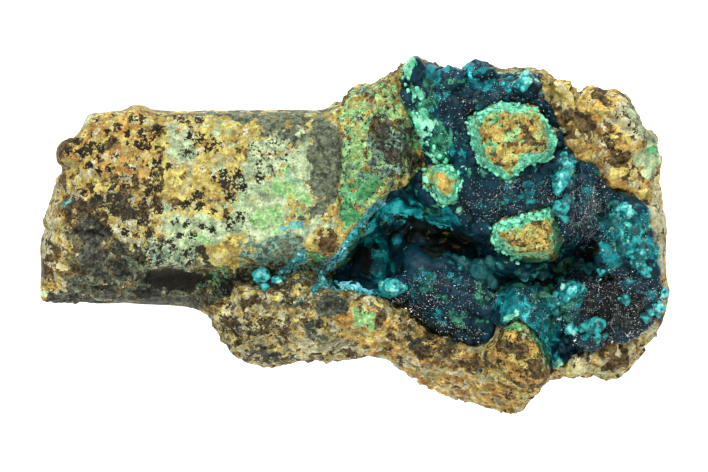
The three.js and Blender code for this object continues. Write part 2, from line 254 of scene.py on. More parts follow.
def coordinates(mesh):
    """The places and the outward directions of a mesh's vertices, in millimetres"""
    places = np.empty(len(mesh.vertices) * 3, np.float32)
    outward = np.empty(len(mesh.vertices) * 3, np.float32)
    mesh.vertices.foreach_get("co", places)
    mesh.vertex_normals.foreach_get("vector", outward)
    return places.reshape(-1, 3).astype(float) / MM, outward.reshape(-1, 3).astype(float)


def move_to(mesh, places):
    """Puts a mesh's vertices at places in millimetres"""
    mesh.vertices.foreach_set("co", (places * MM).astype(np.float32).ravel())
    mesh.update()


def keep(mesh, name, values):
    """Keeps a value for each vertex, for the material to read"""
    attribute = mesh.attributes.new(name, "FLOAT", "POINT")
    attribute.data.foreach_set("value", np.asarray(values, np.float32))


def mesh_of(name, shell):
    """A mesh from a shell, which is done with"""
    mesh = bpy.data.meshes.new(name)
    shell.to_mesh(mesh)
    shell.free()
    return mesh


def piece_from(name, shell, material):
    """A piece of the specimen from its shell, smooth and riding on the only body"""
    mesh = mesh_of(name, shell)
    mesh.polygons.foreach_set("use_smooth", [True] * len(mesh.polygons))
    mesh.materials.append(material)
    piece = bpy.data.objects.new(name, mesh)
    scene.collection.objects.link(piece)
    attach(piece, "root")
    return piece


def linear(colour):
    """An sRGB hex colour as the linear colour that a shader takes"""
    shares = [int(colour[i:i + 2], 16) / 255 for i in (0, 2, 4)]
    return [c / 12.92 if c <= 0.04045 else ((c + 0.055) / 1.055) ** 2.4 for c in shares] + [1.0]


def add(tree, kind, inputs=(), out=0, **settings):
    """Adds a shader node with its settings and its inputs, links or values, and gives one of its outputs"""
    made = tree.nodes.new("ShaderNode" + kind)
    for name, value in settings.items():
        setattr(made, name, value)
    for socket, value in dict(inputs).items():
        if isinstance(value, bpy.types.NodeSocket):
            tree.links.new(value, made.inputs[socket])
        else:
            made.inputs[socket].default_value = value
    return made.outputs[out]


def new_finish(name, sockets):
    """A new material with its nodes and its shader, whose sockets get their fixed values"""
    finish = bpy.data.materials.new(name)
    finish.use_nodes = True
    shader = finish.node_tree.nodes["Principled BSDF"]
    for socket, value in sockets.items():
        shader.inputs[socket].default_value = value
    return finish, finish.node_tree, shader


# How far clouds bend the chunks under them, how strongly they show, and how strongly chunks and grains do
CHUNK_BEND = 1.6
CLOUD_CONTRAST = 2.4
CLOUD_LEVEL = -0.84
CHUNK_SHARE = 0.16
GRAIN_SHARE = 0.12


def mosaic(tree, chunk, grain, cloud, shift):
    """Three fields from 0 to 1 of ragged chunks, grains in them and soft clouds, sized in millimetres"""
    where = add(tree, "TexCoord", out="Object")
    moved = add(tree, "Mapping", {"Vector": where, "Location": [shift] * 3})
    sizes = {"Scale": 1 / (cloud * MM), "Detail": 6, "Roughness": 0.62}
    clouds = add(tree, "TexNoise", {"Vector": moved, **sizes}, out="Color")
    bend, contrast, level = [CHUNK_BEND * chunk * MM] * 3, [CLOUD_CONTRAST] * 3, [CLOUD_LEVEL] * 3
    bent = add(tree, "VectorMath", {0: clouds, 1: bend, 2: moved}, operation="MULTIPLY_ADD")
    total = add(tree, "VectorMath", {0: clouds, 1: contrast, 2: level}, operation="MULTIPLY_ADD")
    for size, share in ((chunk, CHUNK_SHARE), (grain, GRAIN_SHARE)):
        cells = add(tree, "TexVoronoi", {"Vector": bent, "Scale": 1 / (size * MM)}, out="Color")
        total = add(tree, "VectorMath", {0: cells, 1: [share] * 3, 2: total}, operation="MULTIPLY_ADD")
    return add(tree, "SeparateColor", {"Color": total}, out=slice(3))


# The level at which a stain begins and fully covers, and the range of its two tones
STAIN_EDGE = {"From Min": 0.44, "From Max": 0.56}
TONE_RANGE = {"From Min": 0.2, "From Max": 0.8}


def stained_colour(tree, base, stains):
    """A two-tone base with two-tone stains, each where its mask, roughened by a field, is high enough"""
    shade, dark, light = base
    colour = add(tree, "Mix", {0: shade, 6: linear(dark), 7: linear(light)}, out=2, data_type="RGBA")
    for mask, ragged, shade, dark, light, gain in stains:
        kept = add(tree, "Attribute", out="Fac", attribute_name=mask)
        centred = add(tree, "Math", {0: ragged, 1: gain, 2: -0.5 * gain}, operation="MULTIPLY_ADD")
        raised = add(tree, "Math", {0: kept, 1: centred}, operation="ADD")
        cover = add(tree, "MapRange", {"Value": raised, **STAIN_EDGE}, interpolation_type="SMOOTHSTEP")
        tone = add(tree, "MapRange", {"Value": shade, **TONE_RANGE}, interpolation_type="SMOOTHSTEP")
        tint = add(tree, "Mix", {0: tone, 6: linear(dark), 7: linear(light)}, out=2, data_type="RGBA")
        colour = add(tree, "Mix", {0: cover, 6: colour, 7: tint}, out=2, data_type="RGBA")
    return colour


# The width of grit and of specks, in millimetres
GRIT = 0.28
SPECK = 0.36


def gritty(tree, shader, colour, grit_share, speck_share, shades, height, strength):
    """Shades a colour by the kept painted shade and tone, grit and specks, and raises the grit as bumps"""
    painted_shade_and_tone = add(tree, "Attribute", out="Fac", attribute_name="painted_shade_and_tone")
    where = add(tree, "TexCoord", out="Object")
    sizes = {"Scale": 1 / (GRIT * MM), "Detail": 3, "Roughness": 0.6}
    grit = add(tree, "TexNoise", {"Vector": where, **sizes}, out="Fac")
    specks = add(tree, "TexVoronoi", {"Vector": where, "Scale": 1 / (SPECK * MM)}, out="Color")
    speck = add(tree, "SeparateColor", {"Color": specks})
    shaded = add(tree, "Math", {0: grit, 1: grit_share, 2: painted_shade_and_tone}, operation="MULTIPLY_ADD")
    shaded = add(tree, "Math", {0: speck, 1: speck_share, 2: shaded}, operation="MULTIPLY_ADD")
    limits = dict(zip(("From Min", "From Max", "To Min", "To Max"), shades))
    shaded = add(tree, "MapRange", {"Value": shaded, **limits})
    colour = add(tree, "VectorMath", {0: colour, "Scale": shaded}, operation="SCALE")
    bump = add(tree, "Bump", {"Strength": strength, "Distance": height * MM, "Height": grit})
    tree.links.new(colour, shader.inputs["Base Color"])
    tree.links.new(bump, shader.inputs["Normal"])


# Stains on the rock, as soft ovals from above: middle, half lengths, strength and any turn in degrees
ROCK_STAINS = {
    "limonite": [
        (-36, 17.5, 4.6, 3.8, 1.1), (-22.2, 16.4, 2.2, 3, 0.9), (-29.8, 6.6, 2, 1.2, 0.6),
        (-24, 8.2, 4, 1.4, 0.6, 20), (0.4, 17.5, 1.2, 2.5, 1.05), (-33.4, -3, 1.2, 1.4, 0.6),
        (-22.4, -3.2, 1.5, 1.1, 0.8, -30), (-4.4, 0.8, 1.2, 1.6, 0.6), (-49, 1.6, 1.3, 2.4, 0.8),
        (-50.6, -4.5, 1.3, 2.6, 0.7), (-0.3, 22.5, 1, 0.9, 0.9), (22.2, 17.8, 2.2, 2, 1, 20),
        (30.3, 13.7, 2.6, 1.9, 1, -25), (26.3, 12.1, 1.7, 1.5, 1), (14.2, 8.5, 2, 2.6, 1.05),
        (38.8, 23.2, 2.4, 2.1, 1.1), (41.5, 18.6, 2.3, 2.6, 0.95), (46, 15.3, 2.2, 2.3, 0.95),
        (43.7, 9.3, 2.6, 2, 0.85), (3.6, -15.6, 3.4, 2, 1.1, -15), (-0.8, -14.3, 1.6, 2, 1.1),
        (19.7, -25, 6, 4, 1.1, -20), (12, -20.5, 3, 2, 0.9, -20), (36.2, -20.7, 0.5, 2.6, 1, -41),
        (51, -1.2, 0.7, 2.2, 0.8), (2.5, 5.7, 0.6, 0.6, 1.2), (5.8, 10.7, 1.1, 0.9, 0.9),
    ],
    "ochre": [
        (-24.7, 10.3, 6.8, 3, 1.2, 8), (-44.6, 11.3, 2.2, 2.2, 0.75), (-38.4, 1.2, 3.3, 2.6, 0.7),
        (-32.2, 5.3, 1.2, 1.3, 1.1), (1, 22.3, 3.3, 2.4, 0.75), (-8.9, -7.2, 2.1, 1.9, 1.05),
        (47.7, 6.3, 0.8, 2.2, 0.9, 10), (4.6, -16.6, 4, 2.6, 0.6), (30.5, 17.5, 2.4, 2.6, 0.5),
        (-22.4, -2.6, 1.9, 1.7, 1), (12, -19.4, 3.4, 2, 0.5, -20), (34.2, 23.2, 2.6, 1.5, 0.9, -15),
        (45.2, 17.6, 2, 3, 0.55), (46.8, -21.4, 2, 1.2, 0.6), (-10.5, -13, 3, 2.6, 0.6),
        (-17.5, -12, 3.4, 2, 0.6), (29, 1, 4, 2.8, 0.8, 10), (-33.4, -1.6, 1.3, 1.6, 0.9),
        (26.8, -20, 1.2, 1.4, 0.7), (-50, 3.4, 1.2, 2.4, 0.6), (-8, -16, 2.4, 1.4, 0.6), (-22, -8.6, 2, 1, 1),
        (-25, -5.8, 2, 0.8, 1),
    ],
    "bleached": [
        (-5.3, -17.7, 5.2, 1.3, 0.85), (49.9, 0.8, 2.6, 7.6, 0.9), (-50.2, -1, 1.9, 5, 0.75),
        (-44.6, 11.4, 2, 1.6, 0.55), (-38.4, 1.2, 2.8, 2.2, 0.62), (-27, 2.4, 4, 2, 0.6, 10),
        (42.5, -20.5, 3, 2.2, 0.55), (20, -24, 5, 3.4, 0.45), (-29, 16, 3.4, 4, 0.7),
        (-33.4, -2.4, 1.3, 2.4, 0.55), (45.3, 19.2, 3, 4.4, 0.85, 20), (-37.5, 10.5, 5.5, 2, 0.4),
        (-47.5, -8, 1, 1.4, 0.9), (-13, 12, 4, 4, 0.45), (38, -19.6, 2.4, 1.2, 0.7),
        (34.8, 20.8, 1.6, 1, 0.6), (11, -22, 4, 1.4, 0.55, -20),
    ],
    "umber": [
        (-47.3, 14.1, 2, 2.2, 0.95), (-47.2, 9.8, 1.5, 2, 0.7), (-32.2, 13, 0.6, 6, 0.8),
        (-38.5, 9.6, 6.5, 2.2, 0.6), (-39.5, 5.4, 6, 1.8, 0.8), (-43, -5, 2.6, 1.8, 0.9),
        (-48.4, 4, 1.2, 1.6, 0.5), (-50.6, -5.6, 1.4, 1.4, 0.9), (-30.3, 6.3, 2.8, 1.6, 0.75, 25),
        # The oval at (36, 18.7) is brown stain and painted shadow between the blocks of the upper right rock
        (-19.1, -6.5, 2.6, 1.3, 1), (-4.4, -0.1, 1.8, 2.6, 0.75), (36, 18.7, 4, 2.5, 1.1, -15),
        (41.1, 22.5, 1, 1.6, 1), (43.9, 12.8, 2.8, 1.2, 1, -10), (33.4, 26.4, 2.2, 1.4, 0.7),
        (10.7, -18.8, 3.4, 1.6, 0.75, -15), (43, -19.5, 2, 1.8, 0.8), (28.7, 17.4, 2.6, 2.6, 0.5),
        (26.5, -18, 2.4, 2.8, 0.55), (30, -22, 1.6, 2.4, 0.8), (-21.5, -16.5, 2.6, 2.6, 0.55),
        (47.5, 10.5, 1, 2.4, 0.8),
    ],
    "sage": [
        (-28.8, 16.2, 3.2, 4, 0.6), (-13.5, 10.6, 7, 7, 0.78), (-9, 12, 3, 7, 0.8), (-15.5, 3.2, 6, 4, 0.9),
        (-26, 1.4, 6, 3.2, 0.72, 10), (49.3, 13.3, 2, 4, 0.95), (5.7, -21.3, 2.4, 1.4, 0.8, -20),
        (-43.8, 19.2, 1.1, 2, 0.95, -25), (-51, 5.6, 1.4, 4, 0.85, -12), (2, 24.6, 2.6, 1.5, 0.5, 25),
        (-38.5, -9.8, 3, 0.8, 0.35), (-7.6, 1.4, 4, 1.4, 0.8, 15), (47.5, 20, 1.6, 3, 0.7, 20),
        (-29.9, -2.5, 1.3, 1, 1.3), (-28, -3.2, 1.2, 0.9, 1.3), (40, -23.6, 5, 0.8, 0.7),
    ],
    "pale_green": [
        (-14.5, 3.2, 4.2, 2.8, 0.62), (-11.5, 8.6, 3.4, 4, 0.62), (-17, 6, 5, 5, 0.25),
        (-0.8, 13.2, 1.2, 3.6, 1.1), (0.2, 4.6, 1.4, 2, 0.7), (-25.4, 0.4, 2.4, 1.2, 0.6, -20),
        (2.1, -12.4, 2.4, 1.4, 1, -10), (26.3, 16.4, 1.8, 1.2, 0.55, 20), (6.2, 17.8, 1.6, 1.6, 0.6),
        (4.4, 12.6, 1.6, 1.4, 0.6), (49.3, 12, 1, 2, 0.5), (29, -2.4, 3, 0.7, 0.6),
        (30.4, -17.2, 0.6, 4.4, 1.2, 28), (26.4, -13.8, 1.3, 0.9, 1.1), (-8, 5.6, 2, 2, 0.5),
        (-24, -7.4, 2, 1, 0.8), (-21, -5.6, 1.2, 0.8, 0.7),
    ],
    "malachite": [
        (1.9, 8.3, 2.8, 2, 1.4), (-6.1, -3.5, 2.2, 1.5, 1.1), (49.3, 13.8, 0.8, 0.8, 0.95),
        (-0.2, 4.6, 1.8, 2.8, 0.8, -20), (25.5, -14.8, 1.6, 0.9, 0.8), (10, 17.6, 2.4, 4.6, 0.6),
        (22.3, 18.5, 0.7, 0.6, 0.8), (21.6, 14.4, 1.6, 1.4, 0.5, 30), (-23.4, -7, 2.4, 1, 0.5),
        (9.6, 23.6, 2.2, 3.4, 0.55), (30, -15.4, 0.6, 2, 0.8, 28),
    ],
    "emerald": [
        (34, 0.4, 1.4, 4.4, 1.3), (30, -4.3, 4.6, 1.1, 1.3), (31, -18, 0.9, 4.6, 1.1, 31),
        (20.3, 18.6, 0.8, 0.8, 0.6), (-0.3, -1, 4.6, 1, 1.3, 60),
    ],
    "verdigris": [
        (-12.9, -2, 4.8, 2.5, 1), (-29.3, -3.2, 3, 1.9, 0.3), (5.8, 14.8, 3.4, 5, 0.85),
        (10.3, 24.7, 2.6, 4.2, 0.9), (-17.5, -2.4, 2, 1.2, 0.6), (-28, -10.4, 3, 1.2, 0.45),
        (51, -10, 1.4, 3, 0.6), (-10, -11, 3, 1, 0.4),
    ],
    "turquoise": [
        (-11.3, 10.2, 1.6, 1.5, 0.55), (-9.7, 1.8, 3.6, 0.7, 0.62, 16), (-46.8, 5.6, 0.9, 0.8, 1.4),
        (-10.2, -4.6, 0.8, 2.6, 0.9, -38), (6.6, 6.8, 2, 1.4, 0.6, 30), (-5, -4, 2, 0.8, 0.6, 35),
        (11, 22.4, 1.2, 3, 0.6),
    ],
    "slate": [
        (-4.8, 12.6, 2.9, 8.8, 1.15), (-11.8, 18, 4.8, 2.6, 0.78), (-6.9, 3.7, 3, 0.9, 0.9, 15),
        (-18.2, 20.6, 16.5, 0.9, 0.95), (-36.7, -5.2, 2.4, 1.6, 1), (-29.3, -10.4, 4.8, 1.4, 0.9),
        (-3.8, -10.6, 3.2, 2.3, 1), (-11.6, -1.6, 3.8, 2, 0.6), (-6.6, -16, 3.4, 1.2, 0.5),
        (50.4, -14, 1.4, 2.6, 0.8, 25), (-39.6, -3, 1.6, 2.2, 0.6, 30), (-35.6, -8, 2, 1, 0.7),
        (4.6, 17, 2, 2.4, 0.6),
    ],
    "charcoal": [
        (-43.9, -1.6, 3, 4.8, 1.05), (-39, -6, 4.8, 3.2, 0.75), (-38.5, -10.4, 14.5, 1.6, 0.8),
        (-36, -3.4, 1.2, 3.4, 0.8), (-49, -10.2, 3.6, 1.6, 0.95), (36.6, -23.6, 2.4, 0.8, 0.6),
        (-15.5, -19, 3, 2, 0.7), (-3.8, -10.6, 3, 2.2, 0.6), (6.2, 15, 2.6, 4.6, 0.6),
    ],
    "manganese": [
        (-34.7, 16.1, 2, 1, 0.75), (-43.9, 14.4, 1.7, 1.3, 0.85), (-39.5, 5.4, 6, 1.6, 0.62, -5),
        # The oval at (-29.3, -7.2) is painted shadow in the recess under the slab's broken edge, drawn as
        # manganese
        (-35, 3.6, 1.2, 2.6, 0.5), (-29.3, -7.2, 4.9, 1.7, 1.25), (-45.5, -10.6, 5, 0.8, 0.8),
        (-20.7, 9.4, 2.5, 2.8, 0.6, 30), (-25.5, 16.8, 1.4, 1.4, 0.7), (-22.6, 14.8, 1.2, 1.2, 0.6),
        (-27, 6.8, 3, 1.4, 0.5, 20), (-19.5, 2.6, 2.2, 1.4, 0.4), (-25, -3, 1.9, 1.1, 1, -20),
        (-30.9, -0.9, 1.2, 0.5, 0.85), (-31.5, -3.2, 0.4, 1.2, 0.9), (-28.6, -1.5, 1, 0.5, 0.85, -25),
        (-29, -5, 3.4, 0.8, 0.6), (-31, -4, 1, 1, 0.5), (-29, 19.8, 3, 0.8, 0.6), (-15.3, 11.4, 1.2, 1, 0.5),
        (-14, 14, 5, 4, 0.22), (7, 14.5, 2.2, 3.4, 0.45), (36.5, 20.2, 2.4, 1.2, 0.5),
        (11, -17.6, 2.4, 1.2, 0.5), (26, -16.8, 2, 1.4, 0.5), (-20, -7.4, 4.4, 0.9, 0.95),
        (-14.5, -7.2, 3.4, 1, 0.9), (-15, -14.5, 5, 2.4, 0.3), (37, -18.6, 1.6, 1, 0.5),
        (-33.2, 9, 0.8, 5, 0.6), (-22, -15, 2.6, 2, 0.35), (42.6, 15.2, 0.7, 2.4, 0.6, 30),
        (-33.3, -3.4, 0.5, 0.7, 1), (44.6, 19.4, 0.3, 3.4, 1, 27), (46, 19.4, 0.25, 3.2, 0.9, 27),
        (47.2, 18, 0.25, 3, 0.8, 27),
    ],
}
# How far each stain covers each part of the rock between its ovals
GREEN_BLOCK = [
    (-2.4, 21), (-1.5, 24), (4, 27.5), (8, 27), (9.5, 20), (11.5, 14), (9.5, 9.7), (5.2, 5.5), (0.2, -1.2),
    (-3.2, -4), (-2.4, 9),
]
GREEN_FACE = [(1.6, 20), (6, 21.5), (9.5, 18), (11, 13.5), (9, 10.5), (5.5, 10.2), (3.6, 12), (2, 14)]
UPPER_RIGHT = [
    (29.5, 29), (38.2, 25.5), (46, 24.5), (53, 16), (54, -10), (49, -9), (48.5, 5.5), (41, 9), (36, 12.2),
    (32.7, 20.5),
]
LOWER_RIGHT = [(32.5, -25), (34.5, -20), (37, -18), (48, -15), (50, -17), (45, -25), (36, -25)]
MIDDLE_SLAB = [(-32.4, 22.5), (-2.2, 22.5), (-2.2, 0), (-9, -3), (-20, -4), (-31, -2), (-33, 2)]
ORANGE_BLOCK = [(-46, 22), (-32.2, 22), (-32.4, 7), (-40, 7), (-49, 8), (-50, 15)]
LEFT_STRIP = [(-51, 9), (-47.5, 8), (-46.6, 2), (-47.4, -8), (-53, -8), (-54, 0)]
BLOTCHED = [(-46.5, 8), (-33, 7.6), (-33.6, -1.6), (-36, -2.4), (-40, 0.4), (-46, 2.6)]
CREAM = [(-41, 4.4), (-35, 4.2), (-33.8, -1), (-36.5, -1.6), (-39, 0), (-41, 2)]
DARK_CORNER = [
    (-46.8, 3), (-40, 1), (-35, -2.4), (-34.2, -5), (-25.5, -5.4), (-25.5, -13), (-54, -13), (-47.4, -8),
]
MINT_LUMPS = [(-34.6, -0.4), (-30, 0), (-25, -1), (-25.2, -5), (-34.4, -5.2)]
LEDGE_MIDDLE = [(-3, -12), (6, -13), (9, -18), (8, -21), (-3, -18)]
LEDGE_BAND = [(6, -13), (12, -15.5), (20, -18.5), (23, -19), (23, -23), (16, -21.5), (9, -18.5), (6.5, -16)]
LEDGE_TIP = [(9, -19), (16, -21.5), (23, -23), (28, -25), (31, -31), (14, -30), (8, -23)]
CREVICE = [(-25.5, -5.5), (-9, -3), (-2, -3), (-3, -8.6), (-9, -8.4), (-15, -9), (-25.5, -9.5)]
ROCK_BASES = [
    (MIDDLE_SLAB, dict(limonite=0.45, ochre=0.75, bleached=0.3, umber=0.08, sage=0.2), 1.2),
    (ORANGE_BLOCK, dict(limonite=0.85, ochre=0.45, bleached=0.28, umber=0.06), 2.5),
    (LEFT_STRIP, dict(limonite=0.55, ochre=0.55, bleached=0.42, umber=0.3, manganese=0.12), 0.8),
    (BLOTCHED, dict(limonite=0.4, ochre=0.45, bleached=0.45, umber=0.6, charcoal=0.35, manganese=0.3), 2),
    (DARK_CORNER, dict(bleached=0.3, umber=0.5, slate=0.5, charcoal=0.6, manganese=0.2), 1.5),
    (MINT_LUMPS, dict(ochre=0.4, sage=0.5, verdigris=0.28, slate=0.1, manganese=0.3), 0.6),
    (CREAM, dict(ochre=1, bleached=0.5, umber=0.05, charcoal=0.1, manganese=0.05), 0.8),
    (CREVICE, dict(ochre=0.35, umber=0.55, verdigris=0.45, slate=0.3, manganese=0.35), 0.8),
    (LEDGE, dict(limonite=0.48, ochre=0.55, bleached=0.5, umber=0.34, charcoal=0.2), 0.8),
    (LEDGE_MIDDLE, dict(limonite=0.95, ochre=0.35, bleached=0.28, umber=0.22), 1),
    (LEDGE_BAND, dict(limonite=0.6, ochre=0.42, bleached=0.2, umber=0.52, charcoal=0.28, manganese=0.05), 1),
    (LEDGE_TIP, dict(limonite=1.1, ochre=0.25, bleached=0.32, umber=0.15), 1),
    (
        GREEN_BLOCK,
        dict(limonite=0.4, ochre=0.65, umber=0.3, pale_green=0.5, verdigris=0.26, manganese=0.12),
        0.7,
    ),
    (GREEN_FACE, dict(ochre=0.4, umber=0.55, pale_green=0.4, verdigris=0.35, charcoal=0.5, manganese=0.3), 1),
    (UPPER_RIGHT, dict(limonite=0.75, ochre=0.5, bleached=0.34, umber=0.22), 0.7),
    (LOWER_RIGHT, dict(limonite=0.6, ochre=0.5, bleached=0.5, umber=0.24), 0.7),
    (FRAGMENTS["large"], dict(limonite=0.72, ochre=0.45, umber=0.28, pale_green=0.2, manganese=0.1), 0.5),
    (FRAGMENTS["small"], dict(limonite=0.9, ochre=0.4, pale_green=0.15), 0.5),
    (FRAGMENTS["middle"], dict(limonite=0.6, ochre=0.55, umber=0.32, pale_green=0.12, manganese=0.22), 0.5),
    (FRAGMENTS["low"], dict(limonite=0.8, ochre=0.45, umber=0.4, manganese=0.25), 0.7),
]
SIDES = dict(limonite=0.42, ochre=0.42, bleached=0.38, umber=0.42, sage=0.2, slate=0.3, manganese=0.15)
# Where the rock carries separate dark spots of manganese oxide
SPOTTED = [
    (-39, 13.5, 7.4, 7.6, 1), (-20.7, 9.4, 3, 3.2, 0.8), (-25, 16.5, 3.4, 3, 0.75),
    (-27.5, 6.6, 3.4, 1.8, 0.75), (-33, 8, 1.5, 6, 0.9), (-37, 2, 4, 3.6, 1), (-26, 1.6, 4.6, 3, 0.62),
    (-15, 11.5, 2, 2, 0.6), (-19.5, 2.5, 3, 2, 0.5),
]
# Where the edges of rock fragments carry no crust
BARE_EDGES = [
    (33.6, 0.5, 1.6, 3.8, 1), (30, -4.2, 3.6, 1, 0.9), (30.6, 20, 2.4, 1.8, 1), (12.2, 10.4, 1, 2, 0.8),
]
SPOTS = 900
SPOT_SEED = 5
SPOT_AREA = ((-47, 0), (-12, 21))
SPOT_SPACING = 1.6
SPOT_SIZES = (0.3, 0.75)
SPOT_FADE = 1.2
SPOT_EDGE = 0.5
SPOT_STRENGTH = 1.2
WARP_SIZE = 3.2
WARP = 1.9
WARP_SEEDS = (61, 67)
# How wide the green ring on the edge of a fragment is, how much it varies, how softly it ends, and how wide
# the halo inside it is, in millimetres
RING_WIDTH = 1.15
RING_WAVE = 0.7
RING_FADE = 0.4
HALO_WIDTH = 1
# How strong the ring, the halo inside it and the rim of the lining are, and how far edges wear charcoal off
RING_STRENGTH = 1.2
HALO_STRENGTH = 0.95
RIM_STRENGTH = 1.5
RIM_EDGE = (0.9, 0.35)
RIM_WARP = 0.25
CHARCOAL_WEAR = 0.7
# The level of a stain where it isn't, how far the levels between ovals go up and down, and between which
# shares of its half lengths an oval fades
ABSENT = -0.3
UNEVEN = 0.3
STAIN_SEED = 73
OVAL_EDGE = (1.5, 0.5)


def stained(places, ovals):
    """How strongly a stain covers each place, from its soft ovals"""
    cover = np.full(len(places), ABSENT)
    for x, y, half_x, half_y, strength, *turn in ovals:
        across = (places - (x, y)) @ Matrix.Rotation(math.radians(sum(turn)), 2)
        reach = np.hypot(across[:, 0] / half_x, across[:, 1] / half_y)
        cover = np.maximum(cover, ABSENT + (strength - ABSENT) * soft(reach, *OVAL_EDGE))
    return cover


def wander(points, octaves):
    """A small shift of each point seen from above, which makes the edges of stains ragged"""
    return WARP * np.stack([lumps(points, WARP_SIZE, octaves, seed) for seed in WARP_SEEDS], axis=1)


# Weathered rock: dull and grainy, with ragged blotches of iron and copper minerals over grey-olive rock
rock_finish, tree, shader = new_finish("weathered_iron_stained_rock", {"Specular IOR Level": 0.2})
ragged = mosaic(tree, chunk=1.3, grain=0.5, cloud=2.6, shift=3.1)
other = mosaic(tree, chunk=0.9, grain=0.4, cloud=1.7, shift=7.7)
fine = mosaic(tree, chunk=0.6, grain=0.3, cloud=0.8, shift=11.3)
branches = mosaic(tree, chunk=0.4, grain=0.2, cloud=0.5, shift=19.1)
colour = stained_colour(tree, (other[1], "4a4530", "8c8158"), [
    ("limonite", other[1], ragged[0], "9c7336", "deb660", 1.25),
    ("ochre", ragged[1], other[2], "a38b42", "ddd074", 1.25),
    ("bleached", other[0], ragged[2], "a9a276", "dfdbb2", 1.25),
    ("umber", ragged[2], fine[1], "36290f", "75613a", 1.25),
    ("sage", ragged[0], other[1], "8fa37c", "ccdeac", 1.25),
    ("pale_green", other[2], fine[0], "77b068", "b4da92", 1.25),
    ("malachite", ragged[2], other[0], "429457", "84cf8c", 1.25),
    ("emerald", fine[2], other[0], "1d5a40", "4d9c70", 0.8),
    ("verdigris", other[0], fine[1], "3a544c", "88ad94", 1.25),
    ("turquoise", other[2], ragged[1], "2f9390", "83cbb8", 1.25),
    ("mint", other[1], fine[0], "46b48a", "92f0c6", 1.0),
    ("rim", other[0], other[1], "1c8f9c", "8ad9dc", 0.8),
    ("slate", other[2], fine[2], "40473a", "7d8769", 1.25),
    ("charcoal", ragged[1], fine[0], "25271f", "5f6253", 1.25),
    ("manganese", branches[0], ragged[1], "1d1b14", "3b3727", 1.6),
    ("spots", branches[2], ragged[1], "1a1711", "352e20", 1.7),
])
# The kept painted shade and tone of the breaks darkens and lightens the stains, with grit and specks
gritty(tree, shader, colour, 1.0, speck_share=0.45, shades=(0.2, 1.3, 0.3, 1.2), height=0.22, strength=0.9)
dull = add(tree, "MapRange", {"Value": other[1], "To Min": 0.6, "To Max": 0.9})
tree.links.new(dull, shader.inputs["Roughness"])

shell = shell_of(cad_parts["matrix"].data, ROCK_VOXEL)
settle(shell, SETTLE_ROUNDS)
shell.normal_update()
open_side = [
    f for f in shell.faces if f.normal.z > UPWARD and f.calc_center_median().z > OPEN_SIDE_HEIGHT * MM
]
middles = np.array([f.calc_center_median()[:2] for f in open_side]) / MM
hidden = depth_inside(HOLLOW, middles) > CRUST_OVERLAP
for outline in FRAGMENTS.values():
    hidden &= depth_inside(outline, middles) < -FRAGMENT_MARGIN
shown = dict.fromkeys(e for f, lost in zip(open_side, hidden) if not lost for e in f.edges)
bmesh.ops.subdivide_edges(shell, edges=list(shown), cuts=1, use_grid_fill=True)
settle(shell, 1)
host_rock = piece_from("host_rock", shell, rock_finish)
rock = host_rock.data

points, outward = coordinates(rock)
seen = points[:, :2]
# How far each vertex belongs to each part of the rock, from 0 to 1
upper = soft(points[:, 2], *UPPER_HEIGHTS) * soft(outward[:, 2], *UPPER_SLOPES)
slab = soft(depth_inside(SLAB, seen), *SLAB_EDGE) * upper
slab_end = soft(depth_inside(SLAB_END, seen), *PART_EDGE) * upper
ledge = soft(depth_inside(LEDGE, seen), *PART_EDGE) * upper
rings = np.max([depth_inside(outline, seen) for outline in FRAGMENTS.values()], axis=0)
emerging = soft(rings, *FRAGMENT_EDGE)
covered = soft(depth_inside(HOLLOW, seen), *HOLLOW_EDGE) * (1 - emerging)
covered *= soft(points[:, 2], *CRUST_HEIGHTS)
broken = (1 - soft(depth_inside(SLAB_SIDES, seen), *SLAB_SIDES_EDGE)) * (1 - slab)
fragment = emerging * soft(points[:, 2], *FRAGMENT_HEIGHTS)
broken *= 1 - FRAGMENT_CALM * fragment
blocky = broken * soft(outward[:, 2], *BLOCKY_SLOPES) * soft(seen[:, 0], *BLOCKY_X)
large = lumps(points, size=7, octaves=3, seed=5)
small = lumps(points, size=1.5, octaves=3, seed=17)
facets, facet_shades, _ = chips(points, size=4.5, seed=29)
splinters, splinter_shades, _ = chips(points, size=1.7, seed=41)
blocks, block_shades, block_edge_highlights = chips(points, size=7, seed=97)
joints, joint_shades, joint_edges = chips(points, size=4.5, seed=87)
_, grain_shades, _ = chips(points, size=0.8, seed=59)
grains = grapes(points, size=1.1, seed=53)
jointed = soft(depth_inside(DARK_FACETS, seen), *PART_EDGE) * soft(depth_inside(CREAM, seen), *CREAM_EDGE)
jointed *= upper
wavering = seen + CRACK_WANDER * np.stack([small, -small], axis=1)
cracked = soft(nearest_line(CRACKS, wavering), CRACK_WIDTH, 0) * upper
move = broken * (LUMP_LIFT * large + FACET_LIFT * facets + SPLINTER_LIFT * splinters)
move += blocky * BLOCK_LIFT * blocks
move += EVEN_LUMPS * large + EVEN_GRIT * small + slab_end * (1 - jointed) * SLAB_SPLINTERS * splinters
move += (ledge + fragment) * (GRAIN_LIFT * grains - GRAIN_BED)
stepped = np.clip(JOINT_STEP * joints + JOINT_SPLINTERS * splinters, *JOINT_LIMITS)
move += jointed * soft(outward[:, 2], *JOINT_SLOPES) * stepped
standing = soft(points[:, 2], *KNOB_HEIGHTS)
for x, y, radius, height in KNOBS:
    away = np.hypot(seen[:, 0] - x, seen[:, 1] - y) / (radius * (1 + KNOB_WAVE * small))
    move += standing * height * np.sqrt(np.clip(1 - away * away, 0, 1))
move -= CRACK_DEPTH * cracked
highest = np.where(seen[:, 0] > END_X, END_HIGHEST, HIGHEST)
move = np.clip(move, LOWEST, highest) * (1 - covered)
points = points + outward * move[:, None]
points[:, 2] = np.maximum(points[:, 2], 0)
move_to(rock, points)

